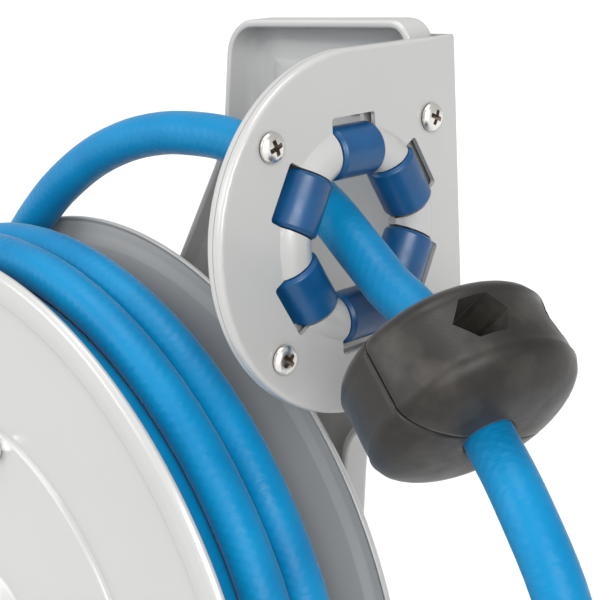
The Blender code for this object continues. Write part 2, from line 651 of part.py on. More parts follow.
def cut_ring(plate, tag, facing):
    """The round opening with its bead, three pairs of roller notches and four screw holes."""
    drill(plate, tag + "_opening", RING_OPENING, RING_CENTRE, X_AXIS, 0.03, RING_STEPS)
    over = arc((BEAD_ORBIT, 0), BEAD_RADIUS, 178, BEAD_FOOT, 10)
    under = arc((BEAD_ORBIT, 0), BEAD_RADIUS - SHEET, BEAD_FOOT, 178, 10)
    profile = [(radius, ROLLER_X + facing * along) for radius, along in over + under]
    if facing < 0:
        profile.reverse()
    combine(plate, turned(tag + "_bead", profile, RING_CENTRE, X_AXIS, RING_STEPS), "UNION")
    for i in range(3):
        notch = box(f"{tag}_notch_{i}", (-0.03, -NOTCH_HALF, -NOTCH_REACH), (0.03, NOTCH_HALF, NOTCH_REACH))
        turn = Matrix.Rotation(math.radians(60 * i), 4, "X")
        notch.matrix_world = Matrix.Translation(RING_CENTRE) @ turn
        combine(plate, notch, "DIFFERENCE")
    for i, point in enumerate(SCREW_POINTS):
        drill(plate, f"{tag}_screw_{i}", M5_CLEARANCE, point, X_AXIS, 0.03, 12)


def front_plate():
    """Sheet with a right-angle bend: the roller plate, and the flange that is bolted to the arm."""
    x, edge, r = RING_CENTRE.x, BEND_Y, BEND_RADIUS
    reach = x - BEND_LENGTH
    near = RING_CENTRE.y - RING_PLATE_RADIUS - 0.002
    section = [(x, near)] + arc((x - r, edge - r), r, 0, 90, 5) + [(reach, edge), (reach, edge - SHEET)]
    section += arc((x - r, edge - r), r - SHEET, 90, 0, 5) + [(x - SHEET, near)]
    half = RING_PLATE_RADIUS + 0.002
    plate = outline("roller_plate_front", section, -half, half, Matrix.Translation((0, 0, RING_CENTRE.z)))
    shape = outline("front_shape", d_outline(FRONT_SHAPE_RIGHT), -BEND_LENGTH - 0.01, 0.01, ring_frame())
    combine(plate, shape, "INTERSECT")
    cut_ring(plate, "front", 1)
    for i, point in enumerate(BRACKET_BOLTS):
        drill(plate, f"flange_hole_{i}", M6_CLEARANCE, point, Y_AXIS, 0.01)
    finish(plate, BRIGHT_GREY, 0.35)


def rear_plate():
    plate = outline("roller_plate_rear", d_outline(REAR_PLATE_RIGHT), -PLATE_PITCH - SHEET, -PLATE_PITCH,
                    ring_frame())
    cut_ring(plate, "rear", -1)
    finish(plate, BRIGHT_GREY, 0.35)


def rollers():
    """Six rollers on pins that the two plates hold, their axes along the sides of a hexagon."""
    for i in range(6):
        turn = math.radians(30 + 60 * i)
        spoke = Vector((0, math.cos(turn), math.sin(turn)))
        along = Vector((0, -math.sin(turn), math.cos(turn)))
        middle = RING_CENTRE + X_AXIS * ROLLER_X + spoke * ROLLER_ORBIT
        half = ROLLER_LENGTH / 2
        profile = ring_profile(PIN_RADIUS + 0.0001, ROLLER_RADIUS, -half, half)
        finish(turned(f"roller_{i + 1}", profile, middle, along, SMALL_STEPS), ROLLER_BLUE, 0.4)
        pin = prism(f"roller_pin_{i + 1}", PIN_RADIUS, -half - PIN_REACH, half + PIN_REACH, middle, along, 10)
        finish(pin, STEEL, 0.3, 1.0)


def ring_screws():
    """Cross-recessed pan-head screws that clamp the two roller plates."""
    for i, point in enumerate(SCREW_POINTS):
        dome = [(0, GAP + 0.0030), (0.0030, GAP + 0.0026), (PAN_HEAD_RADIUS, GAP + 0.0010),
                (PAN_HEAD_RADIUS, GAP), (SCREW_SHANK, GAP), (SCREW_SHANK, -SCREW_LENGTH), (0, -SCREW_LENGTH)]
        screw = turned(f"ring_screw_{i + 1}", dome, point, X_AXIS, SMALL_STEPS, closed=False)
        finish(screw, ZINC, 0.25, 1.0)


def bracket_bolts():
    """Bolts through the front plate's bent flange, into threads cut in the arm."""
    for i, point in enumerate(BRACKET_BOLTS):
        bearing = Vector((point.x, BEND_Y + GAP, point.z))
        hex_bolt(f"bracket_bolt_{i + 1}", bearing, Y_AXIS, M6_BOLT, BRACKET_BOLT_LENGTH)


# ---------------------------------------------------------------- hose
# Slack stretch: off the drum's back, up and over to the rollers, through them and the stop, down to the
# floor. Its points are from the ring's centre.
LAST_TURN_RADIUS, LAST_TURN_Y = 0.1452, -0.0153
LAST_TURN_FROM, LAST_TURN_TO = 240, 132          # degrees round the drum
SLACK_ARC = [(-0.1940, -0.0074, -0.0235), (-0.1785, -0.0073, -0.0107), (-0.1620, -0.0066, 0.0020),
             (-0.1410, -0.0052, 0.0145), (-0.1220, -0.0038, 0.0222), (-0.1045, -0.0025, 0.0265),
             (-0.0850, -0.0012, 0.0283), (-0.0595, 0.0000, 0.0268), (-0.0365, -0.0002, 0.0196),
             (-0.0136, -0.0012, 0.0074), (0.0012, -0.0034, -0.0026), (0.0089, -0.0048, -0.0076),
             (0.0190, -0.0068, -0.0140)]
TAIL = [(0.0880, -0.0290, -0.0640), (0.1028, -0.0330, -0.0850), (0.1140, -0.0355, -0.1160),
        (0.1200, -0.0372, -0.1550), (0.1235, -0.0386, -0.2050), (0.1250, -0.0395, -0.2450)]
TOUCHDOWN = Vector((0.2795, -0.0490, 0))         # where the hanging stretch starts to turn along the floor
TOUCHDOWN_RADIUS = 0.075
FLOOR_LOOP_RADIUS = 0.080
FLOOR_LOOP_FROM, FLOOR_LOOP_TO = -90, 180      # degrees round the loop on the floor
FLOOR_REST = HOSE_RADIUS + 0.0003
COIL_STEPS = [(-0.0635, -0.0310, 0.1655), (COIL_LOW, -0.0243, 0.1498), (COIL_LOW, COIL_HIGH, 0.1356)]
TUBE_SPACING = 2.2 * 2 * HOSE_RADIUS
FINE_STEPS = 24                  # steps of the smooth curve between two route points
STOP_STRAIGHT = 0.022            # the hose is straight this far either way of the stop's middle
FERRULE_LENGTH = 0.024
FITTING_HEX_RADIUS = 0.0082
NOSE_RADIUS = 0.0065
FITTING_REACH = 0.048            # from the hose's end to the fitting's mouth


def route_points():
    """The route's own points from the drum to the hose's end, and the places in it of the stop's two ends."""
    points = []
    for angle in range(LAST_TURN_FROM, LAST_TURN_TO - 1, -12):
        turn = math.radians(angle)
        spoke = Vector((math.cos(turn), 0, math.sin(turn)))
        points.append(AXLE_POINT + spoke * LAST_TURN_RADIUS + Y_AXIS * LAST_TURN_Y)
    points += [RING_CENTRE + Vector(p) for p in SLACK_ARC]
    through = [len(points), len(points) + 1]
    points += [STOP_CENTRE - STOP_AXIS * STOP_STRAIGHT, STOP_CENTRE + STOP_AXIS * STOP_STRAIGHT]
    points += [RING_CENTRE + Vector(p) for p in TAIL]
    start = math.radians(FLOOR_LOOP_FROM)
    heading = Vector((-math.sin(start), math.cos(start), 0))
    for angle in (0, 30, 60):
        turn = math.radians(angle)
        points.append(TOUCHDOWN + heading * TOUCHDOWN_RADIUS * (1 - math.cos(turn))
                      + Z_AXIS * (FLOOR_REST + TOUCHDOWN_RADIUS * (1 - math.sin(turn))))
    spoke = Vector((math.cos(start), math.sin(start), 0))
    centre = TOUCHDOWN + heading * TOUCHDOWN_RADIUS - spoke * FLOOR_LOOP_RADIUS
    for angle in range(FLOOR_LOOP_FROM, FLOOR_LOOP_TO + 1, 18):
        turn = math.radians(angle)
        spoke = Vector((math.cos(turn), math.sin(turn), 0))
        points.append(centre + spoke * FLOOR_LOOP_RADIUS + Z_AXIS * FLOOR_REST)
    return points, through


def smooth(points, through, spacing):
    """Points about spacing apart on a Catmull-Rom curve, straight between the two places in through."""
    ends = [points[0] * 2 - points[1]] + points + [points[-1] * 2 - points[-2]]
    fine = []
    for i, (p0, p1, p2, p3) in enumerate(zip(ends, ends[1:], ends[2:], ends[3:])):
        for t in np.linspace(0, 1, FINE_STEPS, endpoint=False):
            curved = 0.5 * (2 * p1 + (p2 - p0) * t + (2 * p0 - 5 * p1 + 4 * p2 - p3) * t * t
                            + (3 * p1 - p0 - 3 * p2 + p3) * t ** 3)
            fine.append(p1.lerp(p2, t) if i == through[0] else curved)
    fine.append(points[-1])
    path = np.array([tuple(p) for p in fine])
    along = np.concatenate([[0], np.cumsum(np.linalg.norm(np.diff(path, axis=0), axis=1))])
    stations = [0, along[through[0] * FINE_STEPS], along[through[1] * FINE_STEPS], along[-1]]
    wanted = [0.0]
    for first, last in zip(stations, stations[1:]):
        count = max(1, round((last - first) / spacing))
        wanted += list(np.linspace(first, last, count + 1)[1:])
    return [Vector([np.interp(w, along, path[:, k]) for k in range(3)]) for w in wanted]


def hose():
    path = smooth(*route_points(), TUBE_SPACING)
    tube("hose_run", path, HOSE_RADIUS, HOSE_BLUE, 0.45, 0.0, 2)

    (top_low, top_high, top), (mid_low, mid_high, mid), (low, high, bottom) = COIL_STEPS
    inner = BARREL_RADIUS + GAP
    section = [(inner, high), (bottom, high), (bottom, mid_high), (mid, mid_high), (mid, top_high),
               (top, top_high), (top, top_low), (mid, top_low), (mid, low), (inner, low)]
    finish(turned("hose_coil", section, AXLE_POINT, Y_AXIS), HOSE_BLUE, 0.45)

    end = path[-1]
    heading = (path[-1] - path[-2]).normalized()
    end_fitting(end, heading)


def end_fitting(end, heading):
    """Crimped ferrule on the hose's end, and the brass fitting that is swaged into it."""
    ferrule = prism("end_ferrule", HOSE_RADIUS, GAP, FERRULE_LENGTH, end, heading, SMALL_STEPS)
    finish(ferrule, BRASS, 0.35, 1.0)
    fitting = prism("end_fitting", FITTING_HEX_RADIUS, FERRULE_LENGTH + GAP, 0.033, end, heading, 6, Z_AXIS)
    nose = prism("end_nose", NOSE_RADIUS, 0.032, FITTING_REACH, end, heading, SMALL_STEPS)
    combine(fitting, nose, "UNION")
    drill(fitting, "end_bore", AIR_PASSAGE, end + heading * 0.036, heading, 0.02, 12)
    finish(fitting, BRASS, 0.35, 1.0)


# ---------------------------------------------------------------- hose stop
STOP_BORE = HOSE_RADIUS + 0.0005
STOP_ACROSS = STOP_UP.cross(STOP_AXIS).normalized()
NUT_SEAT = 0.009
HEAD_SEAT = -0.015
NUT_POCKET_RADIUS = 0.0078       # across corners, half
HEAD_POCKET_RADIUS = 0.0065
STOP_HEAD_RADIUS = 0.0055
STOP_HEAD_HEIGHT = 0.0045
STOP_SHANK_RADIUS = 0.0029
STOP_NUT_RADIUS = 0.0074


def stop_profile():
    """Radius and distance along the hose: a straight side wall, and a shallow dome on each face."""
    upper = []
    for t in np.linspace(0, 1, 5):
        bulge = math.sqrt(1 - t ** 2.6)
        upper.append((STOP_BORE + (STOP_RADIUS - STOP_BORE) * t, STOP_WALL + STOP_DOME * bulge))
    return upper + [(r, -along) for r, along in reversed(upper)]


def stop_bolt_point(sign):
    return STOP_CENTRE + STOP_ACROSS * sign * STOP_BOLT_OFFSET + STOP_AXIS * STOP_BOLT_ALONG


def stop_half(name, side):
    """One of the two rubber halves, on the side of the hose that the sign gives."""
    half = turned(name, stop_profile(), STOP_CENTRE, STOP_AXIS, 26)
    side_up = STOP_UP.normalized() * side
    keep = prism(name + "_keep", 0.06, GAP, 0.06, STOP_CENTRE, side_up, 4)
    combine(half, keep, "INTERSECT")
    for i, sign in enumerate((-1, 1)):
        point = stop_bolt_point(sign)
        drill(half, f"{name}_bolt_hole_{i}", M6_CLEARANCE, point, STOP_UP, 0.05, 16)
        if side > 0:
            pocket = prism(f"{name}_pocket_{i}", NUT_POCKET_RADIUS, NUT_SEAT, 0.05, point,
                           STOP_UP, 6, STOP_AXIS)
        else:
            pocket = prism(f"{name}_pocket_{i}", HEAD_POCKET_RADIUS, -HEAD_SEAT, 0.05, point, -STOP_UP, 16)
        combine(half, pocket, "DIFFERENCE")
    finish(half, RUBBER_BLACK, 0.6)


def hose_stop():
    stop_half("stop_half_upper", 1)
    stop_half("stop_half_lower", -1)
    up = STOP_UP.normalized()
    for i, sign in enumerate((-1, 1)):
        point = stop_bolt_point(sign)
        bolt = prism(f"stop_bolt_{i + 1}", STOP_HEAD_RADIUS, HEAD_SEAT - STOP_HEAD_HEIGHT, HEAD_SEAT - GAP,
                     point, up)
        shank = prism(f"stop_shank_{i}", STOP_SHANK_RADIUS, HEAD_SEAT - 0.002, NUT_SEAT + 0.007,
                      point, up)
        combine(bolt, shank, "UNION")
        finish(bolt, ZINC, 0.35, 1.0)
        nut = prism(f"stop_nut_{i + 1}", STOP_NUT_RADIUS, NUT_SEAT + GAP, NUT_SEAT + 0.005, point, up,
                    6, STOP_AXIS)
        drill(nut, f"stop_nut_hole_{i}", 0.0032, point, up, 0.05, 16)
        finish(nut, ZINC, 0.35, 1.0)


# ---------------------------------------------------------------- build
base_plate()
pedestal_arm()
foot_bolts()
axle()
inlet_fitting()
power_spring()
drum()
spring_cover()
bush("near_bush", COVER_LOW + SHEET + GAP, Y_AXIS, 0.006)
bush("far_bush", FAR_FLANGE_Y - SHEET - GAP, -Y_AXIS, 0.0012)
swivel()
riser_pipe()
ratchet()
front_plate()
rear_plate()
rollers()
ring_screws()
bracket_bolts()
hose()
hose_stop()
bpy.context.view_layer.update()
print("nodes:", len(parts.objects))
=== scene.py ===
"""The looks of the spring-retractable air hose reel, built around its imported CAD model.

Metres, +Z up, in the CAD model's own frame. The drum turns about Y, and the hose leaves towards +X.
"""

import json
from math import asin, atan2, ceil, copysign, cos, degrees, hypot, pi, radians, sin, sqrt, tan

import bmesh
import bpy
import numpy as np
from mathutils import Matrix, Vector
from mathutils.geometry import delaunay_2d_cdt


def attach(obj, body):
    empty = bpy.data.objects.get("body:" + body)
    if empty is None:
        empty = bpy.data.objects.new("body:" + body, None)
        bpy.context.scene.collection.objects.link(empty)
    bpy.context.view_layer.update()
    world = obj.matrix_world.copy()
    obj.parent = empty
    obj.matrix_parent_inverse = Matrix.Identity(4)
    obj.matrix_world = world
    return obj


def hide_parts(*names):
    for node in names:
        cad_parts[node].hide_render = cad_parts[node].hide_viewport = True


# ------------------------ sizes, as in the CAD model
GAP = 0.0003
HOSE_RADIUS = 0.008
AXLE_HEIGHT = 0.184
AXLE_POINT = Vector((0, 0, AXLE_HEIGHT))
FLANGE_RADIUS = 0.162
RIM_WIDTH = 0.011
SHEET = 0.0018
NEAR_FLANGE_Y = -0.0735
FAR_FLANGE_Y = -0.0043
BARREL_RADIUS = 0.0765
COVER_RADIUS = 0.0985
COVER_HUB_RADIUS = 0.032
COVER_HIGH = NEAR_FLANGE_Y - GAP
COVER_LOW = COVER_HIGH - 0.006
COVER_BOLT_ORBIT = 0.091
COVER_BOLT_ANGLES = (75, 195, 315)
COVER_BOLT_LENGTH = 0.0042
BUSH_RADIUS = 0.0143
AXLE_RADIUS = 0.010
PLATE = 0.003
ARM_OUTER_Y = 0.0432
ARM_DEPTH = 0.0143
ARM_INNER_Y = ARM_OUTER_Y - PLATE
BASE_PLATE = 0.004
BASE_X, BASE_Y = 0.120, 0.080  # half the base plate's length and width
BASE_CORNER = 0.015
SLOT_X, SLOT_Y = 0.103, 0.064  # middles of the anchor slots
SLOT_RADIUS = 0.0045
FOOT_BOLT_SEAT = 0.0080  # upper side of the foot, which the bolt heads stand on
FOOT_BOLT_XS, FOOT_BOLT_YS = (-0.070, 0.070), (-0.034, 0.008)
FOOT_BOLT_LENGTH = 0.0072
BRACKET_BOLT_X = 0.112
BRACKET_BOLT_RISES = (-0.034, 0.034)  # from the ring's centre
BRACKET_BOLT_LENGTH = 0.0125
BRACKET_BOLT_SEAT = 0.0458  # outer side of the front plate's bent flange
RING_CENTRE = Vector((0.153, -0.008, AXLE_HEIGHT + 0.173))
RING_PLATE_RADIUS = 0.060
BEAD_ORBIT = 0.029
ROLLER_ORBIT = 0.0272
PIN_DEPTH = 0.00335  # roller pins behind the front plate's face
BEAD_RADIUS = 0.0074  # the bead pressed in both roller plates, around the pins
NOTCH_REACH = 0.039
NOTCH_HALF = 0.0099
ROLLER_RADIUS = 0.0087
ROLLER_LENGTH = 0.0188
BEND_START = 0.0495  # where the front plate starts to bend, from the ring's centre
BEND_RADIUS = 0.004
BEND_LENGTH = 0.062
STOP_CENTRE = RING_CENTRE + Vector((0.0535, -0.0155, -0.0370))
STOP_AXIS = Vector((0.739, -0.2185, -0.634)).normalized()
STOP_UP = Vector((0.674, 0.190, 0.717)).normalized()
STOP_RADIUS = 0.034
STOP_WALL = 0.010
STOP_DOME = 0.0096
STOP_BOLT_OFFSET = 0.0165
STOP_BOLT_ALONG = -0.0018  # the bolts are this far along the hose from the stop's middle
SMALL_HEAD = (0.0080, 0.0035, 0.0025)  # bolts: width across flats, head height, shank radius
MIDDLE_HEAD = (0.0100, 0.0040, 0.0030)
LARGE_HEAD = (0.0130, 0.0053, 0.0040)
X_AXIS = Vector((1, 0, 0))
Y_AXIS = Vector((0, 1, 0))
Z_AXIS = Vector((0, 0, 1))

CAMERA_PLACE = Vector((0.459, -0.3238, 0.4507))
CAMERA_BACK = Vector((0.705, -0.6625, 0.253)).normalized()
CAMERA_UP = Vector((-0.1448, 0.2148, 0.9659))
CAMERA_LENS = 82.3
LIGHTS = {  # where each light comes from, and its strength
    "key": ((-0.42, -0.85, 0.42), 1.8),
    "side": ((0.80, -0.50, 0.33), 3.5),
    "top": ((-0.05, -0.15, 1.0), 2.1),
}
LIGHT_SPREAD = radians(40)
SKY_STRENGTH = 0.63

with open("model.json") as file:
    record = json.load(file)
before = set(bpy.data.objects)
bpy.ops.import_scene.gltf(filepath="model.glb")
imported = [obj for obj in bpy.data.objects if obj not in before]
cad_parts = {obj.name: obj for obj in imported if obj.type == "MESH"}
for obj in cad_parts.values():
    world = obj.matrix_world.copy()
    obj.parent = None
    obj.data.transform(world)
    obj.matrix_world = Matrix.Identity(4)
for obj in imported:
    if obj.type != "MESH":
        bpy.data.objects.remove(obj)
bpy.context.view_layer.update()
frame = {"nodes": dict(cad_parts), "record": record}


# ------------------------ camera, floor and light
def look(obj, place, back, up):
    """Place a camera or light with its back vector and the way its top points."""
    back = back.normalized()
    right = up.cross(back).normalized()
    top = back.cross(right)
    obj.matrix_world = Matrix.Translation(place) @ Matrix((right, top, back)).transposed().to_4x4()
    bpy.context.scene.collection.objects.link(obj)


def camera():
    data = bpy.data.cameras.new("camera")
    data.lens = CAMERA_LENS
    data.sensor_width = 36
    data.clip_start = 0.01
    data.clip_end = 50
    obj = bpy.data.objects.new("camera", data)
    look(obj, CAMERA_PLACE, CAMERA_BACK, CAMERA_UP)
    bpy.context.scene.camera = obj


def soft_light(name, direction, strength):
    """Broad, even light from one direction, as from a large softbox far away."""
    data = bpy.data.lights.new(name, "SUN")
    data.energy = strength
    data.angle = LIGHT_SPREAD
    look(bpy.data.objects.new(name, data), Vector(direction), Vector(direction), Z_AXIS)


def studio():
    world = bpy.data.worlds.new("studio")
    world.use_nodes = True
    background = world.node_tree.nodes["Background"]
    background.inputs["Color"].default_value = (1, 1, 1, 1)
    background.inputs["Strength"].default_value = SKY_STRENGTH
    bpy.context.scene.world = world
    bpy.context.scene.view_settings.view_transform = "Standard"
    for name, (direction, strength) in LIGHTS.items():
        soft_light(name, direction, strength)
    bm = bmesh.new()
    bmesh.ops.create_grid(bm, x_segments=2, y_segments=2, size=40)
    floor = bpy.data.objects.new("floor", mesh_of("floor", bm))
    bpy.context.scene.collection.objects.link(floor)
    floor.data.materials.append(floor_material())


# ------------------------ material helpers
class Surface:
    """A Principled material and the nodes that feed it, in object or UV coordinates."""

    def __init__(self, name, colour, roughness, metallic=0.0, coordinates="Object", **sockets):
        self.material = bpy.data.materials.new(name)
        self.material.use_nodes = True
        self.tree = self.material.node_tree
        self.shader = self.tree.nodes["Principled BSDF"]
        self.set(self.shader, Base_Color=(*colour, 1), Roughness=roughness, Metallic=metallic, **sockets)
        self.coordinates = self.tree.nodes.new("ShaderNodeTexCoord").outputs[coordinates]

    @staticmethod
    def set(node, **sockets):
        for name, value in sockets.items():
            node.inputs[name.replace("_", " ")].default_value = value

    def join(self, source, target):
        self.tree.links.new(source, target)

    def mapped(self, scale, turn=0.0):
        """The coordinates, scaled along each axis and turned about Z."""
        node = self.tree.nodes.new("ShaderNodeMapping")
        self.set(node, Scale=scale, Rotation=(0, 0, turn))
        self.join(self.coordinates, node.inputs["Vector"])
        return node.outputs["Vector"]

    def noise(self, scale, detail, stretch=(1, 1, 1)):
        node = self.tree.nodes.new("ShaderNodeTexNoise")
        self.set(node, Scale=scale, Detail=detail)
        self.join(self.mapped(stretch), node.inputs["Vector"])
        return node.outputs["Fac"]

    def wave(self, scale, turn, distortion):
        node = self.tree.nodes.new("ShaderNodeTexWave")
        self.set(node, Scale=scale, Distortion=distortion, Detail=1.0)
        self.join(self.mapped((1, 1, 1), turn), node.inputs["Vector"])
        return node.outputs["Fac"]

    def roughness(self, source, low, high):
        """Roughness between two values, following a texture's value."""
        node = self.tree.nodes.new("ShaderNodeMapRange")
        self.set(node, From_Min=0.3, From_Max=0.7, To_Min=low, To_Max=high)
        self.join(source, node.inputs["Value"])
        self.join(node.outputs["Result"], self.shader.inputs["Roughness"])

    def colours(self, source, stops):
        """Base colour from a texture's value, through colour stops."""
        ramp = self.tree.nodes.new("ShaderNodeValToRGB")
        elements = ramp.color_ramp.elements
        while len(elements) < len(stops):
            elements.new(0.5)
        for element, (place, colour) in zip(elements, stops):
            element.position = place
            element.color = (*colour, 1)
        self.join(source, ramp.inputs["Fac"])
        self.join(ramp.outputs["Color"], self.shader.inputs["Base Color"])

    def bump(self, source, depth):
        """Add relief of a depth in metres to what the surface already has."""
        node = self.tree.nodes.new("ShaderNodeBump")
        self.set(node, Strength=1.0, Distance=depth)
        self.join(source, node.inputs["Height"])
        normal = self.shader.inputs["Normal"]
        if normal.is_linked:
            self.join(normal.links[0].from_socket, node.inputs["Normal"])
        self.join(node.outputs["Normal"], normal)


def shade(colour, factor):
    return tuple(min(1.0, c * factor) for c in colour)


# ------------------------ materials
def floor_material():
    s = Surface("floor_paper", (0.62, 0.62, 0.62), 0.9, Specular_IOR_Level=0.1)
    s.colours(s.noise(300, 2), [(0.3, (0.615, 0.615, 0.615)), (0.7, (0.625, 0.625, 0.625))])
    return s.material


def grey_paint():
    """Glossy powder coat: fine orange peel, and a faint unevenness in its colour."""
    grey = (0.320, 0.320, 0.314)
    s = Surface("grey_paint", grey, 0.3, Coat_Weight=0.35, Coat_Roughness=0.12)
    s.colours(s.noise(14, 4), [(0.3, shade(grey, 0.975)), (0.7, shade(grey, 1.02))])
    s.roughness(s.noise(60, 2), 0.30, 0.34)
    s.bump(s.noise(420, 1), 0.00003)
    return s.material


def hose_cover():
    """Blue PVC over a braid: faint crossing ridges, fine wrinkles and a cloudy gloss. UV is in metres."""
    blue = (0.0002, 0.132, 0.285)
    s = Surface("hose_cover", blue, 0.42, coordinates="UV", Specular_IOR_Level=0.15,
                Sheen_Weight=0.09, Sheen_Roughness=0.35)
    s.colours(s.noise(34, 5), [(0.28, (0.0001, 0.112, 0.252)), (0.5, blue), (0.75, (0.0004, 0.152, 0.315))])
    s.roughness(s.noise(90, 4), 0.34, 0.52)
    s.bump(s.wave(95, radians(36), 0.6), 0.00004)
    s.bump(s.wave(95, radians(-36), 0.6), 0.00004)
    s.bump(s.noise(260, 3, (2.5, 0.7, 1)), 0.00022)
    s.bump(s.noise(1500, 2), 0.00002)
    return s.material


def black_rubber():
    """Moulded rubber: warm grey-black, with scuffs and a fine matte grain."""
    s = Surface("black_rubber", (0.012, 0.011, 0.010), 0.45, Specular_IOR_Level=0.28,
                Sheen_Weight=0.12, Sheen_Roughness=0.4)
    s.colours(s.noise(45, 5), [(0.3, (0.0065, 0.0055, 0.0045)), (0.52, (0.0105, 0.0088, 0.0070)),
                               (0.68, (0.030, 0.026, 0.022))])
    s.roughness(s.noise(120, 4), 0.38, 0.54)
    s.bump(s.noise(1400, 3), 0.00004)
    s.bump(s.noise(90, 3), 0.00015)
    return s.material


def blue_plastic():
    """Moulded roller plastic, with a faint unevenness in its tone and gloss."""
    blue = (0.002, 0.046, 0.130)
    s = Surface("blue_plastic", blue, 0.32, Specular_IOR_Level=0.4)
    s.colours(s.noise(70, 4), [(0.3, shade(blue, 0.88)), (0.7, shade(blue, 1.12))])
    s.roughness(s.noise(160, 4), 0.26, 0.42)
    s.bump(s.noise(500, 3), 0.00003)
    return s.material


def metal(name, colour, low, high):
    """Bare or plated metal, its roughness between low and high."""
    s = Surface(name, colour, (low + high) / 2, 1.0)
    s.colours(s.noise(120, 4), [(0.3, shade(colour, 0.88)), (0.7, shade(colour, 1.05))])
    s.roughness(s.noise(200, 3), low, high)
    s.bump(s.noise(600, 3), 0.00002)
    return s.material


# ------------------------ mesh helpers
def piece(name, bm, material, body, node=None, smooth=38, weighted=True):
    """A piece that rides on a body and stands for a CAD node, by default the one of its own name."""
    mesh = mesh_of(name, bm)
    obj = bpy.data.objects.new(name, mesh)
    bpy.context.scene.collection.objects.link(obj)
    mesh.materials.append(material)
    mesh.shade_smooth()
    mesh.set_sharp_from_angle(angle=radians(smooth))
    if weighted:
        obj.modifiers.new("flat faces", "WEIGHTED_NORMAL").keep_sharp = True
    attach(obj, body)
    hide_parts(node or name)
    return obj


def frame_on(origin, axis, up=None):
    """Matrix that puts local Z on axis, and local Y as near to up as it goes."""
    z = Vector(axis).normalized()
    if up is None:
        up = X_AXIS if abs(z.dot(Y_AXIS)) > 0.9 else Y_AXIS
    y = Vector(up) - z * z.dot(Vector(up))
    y.normalize()
    return Matrix.Translation(origin) @ Matrix((y.cross(z), y, z)).transposed().to_4x4()


def mirrored(corners):
    """Corners of a section that is the same on both sides of along = 0, from its positive half."""
    return corners + [(radius, -along, *rounding) for radius, along, *rounding in reversed(corners)]


def mesh_of(name, bm):
    """Mesh from a bmesh, welded, and with its faces turned outwards."""
    bmesh.ops.remove_doubles(bm, verts=bm.verts, dist=0.0000005)
    bmesh.ops.recalc_face_normals(bm, faces=bm.faces)
    mesh = bpy.data.meshes.new(name)
    bm.to_mesh(mesh)
    bm.free()
    return mesh


def rounded(corners, per_corner=5, closed=True):
    """Outline through (x, y, radius) corners, each rounded with its own radius."""
    points = []
    count = len(corners)
    for i, (x, y, radius) in enumerate(corners):
        here = Vector((x, y))
        if radius < 0.00001 or (not closed and i in (0, count - 1)):
            points.append((x, y))
            continue
        to_last = (Vector(corners[i - 1][:2]) - here).normalized()
        to_next = (Vector(corners[(i + 1) % count][:2]) - here).normalized()
        half = to_last.angle(to_next) / 2
        middle = here + (to_last + to_next).normalized() * radius / sin(half)
        first = (here + to_last * radius / tan(half) - middle).normalized()
        last = (here + to_next * radius / tan(half) - middle).normalized()
        for t in np.linspace(0, 1, per_corner):
            points.append(tuple(middle + first.slerp(last, t) * radius))
    return points


def arc(centre, radius, first, last, count):
    """Points on an arc, angles in degrees."""
    angles = np.radians(np.linspace(first, last, count))
    return [(centre[0] + radius * cos(a), centre[1] + radius * sin(a)) for a in angles]


def ring(bm, radius, along, steps):
    """New vertices on a circle round local Z, or one shared vertex where the radius is nothing."""
    if radius < 0.000001:
        return [bm.verts.new((0, 0, along))] * steps
    turn = [2 * pi * k / steps for k in range(steps)]
    return [bm.verts.new((radius * cos(a), radius * sin(a), along)) for a in turn]


def bridge(bm, first, second):
    """Faces between two rings of vertices, all the way round."""
    for k, (a, b) in enumerate(zip(first, second)):
        after = (k + 1) % len(first)
        corners = list(dict.fromkeys((a, first[after], second[after], b)))
        if len(corners) > 2:
            bm.faces.new(corners)


def lathe(profile, steps=128, closed=True, place=None):
    """Bmesh of (radius, along) points turned about local Z, or about the Z of a place."""
    bm = bmesh.new()
    rings = [ring(bm, radius, along, steps) for radius, along in profile]
    pairs = list(zip(rings, rings[1:]))
    if closed:
        pairs.append((rings[-1], rings[0]))
    for first, second in pairs:
        bridge(bm, first, second)
    if place is not None:
        bm.transform(place)
    return bm


def turned(name, corners, origin, axis, material, body, steps=128, closed=True, per_corner=4, smooth=38):
    """Turned piece through rounded (radius, along, rounding) corners."""
    bm = lathe(rounded(corners, per_corner, closed), steps, closed, frame_on(origin, axis))
    return piece(name, bm, material, body, smooth=smooth)


def on_axle(name, corners, material, body, **options):
    """Turned piece on the axle's line, its corners at (radius, y, rounding)."""
    return turned(name, corners, AXLE_POINT, Y_AXIS, material, body, **options)


def washer(inner, outer, low, high, inner_ease, outer_ease):
    """Corners of a flat ring's section; each ease rounds the low and the high corner on its side."""
    return [(inner, low, inner_ease[0]), (outer, low, outer_ease[0]),
            (outer, high, outer_ease[1]), (inner, high, inner_ease[1])]


def hexagon(across, low, high, place, hole=0.0):
    """Hexagonal nut or head with its corners turned off at both ends, as a bmesh."""
    steps = 96
    flat = across / 2
    corner = flat / cos(pi / 6)
    chamfer = (corner - flat) * 0.6
    bm = bmesh.new()
    rings = []
    face = flat * 0.98
    for along, limit in ((low, face), (low + chamfer, corner), (high - chamfer, corner), (high, face)):
        outline = []
        for k in range(steps):
            angle = 2 * pi * k / steps
            wrapped = (angle + pi / 6) % (pi / 3) - pi / 6
            radius = min(flat / cos(wrapped), limit)
            outline.append(bm.verts.new((radius * cos(angle), radius * sin(angle), along)))
        rings.append(outline)
    pairs = list(zip(rings, rings[1:]))
    if hole:
        inner = [ring(bm, hole, along, steps) for along in (low, high)]
        pairs += [(rings[0], inner[0]), (rings[-1], inner[1]), inner]
    for first, second in pairs:
        bridge(bm, first, second)
    if not hole:
        bm.faces.new(rings[0])
        bm.faces.new(rings[-1])
    bm.transform(place)
    return bm


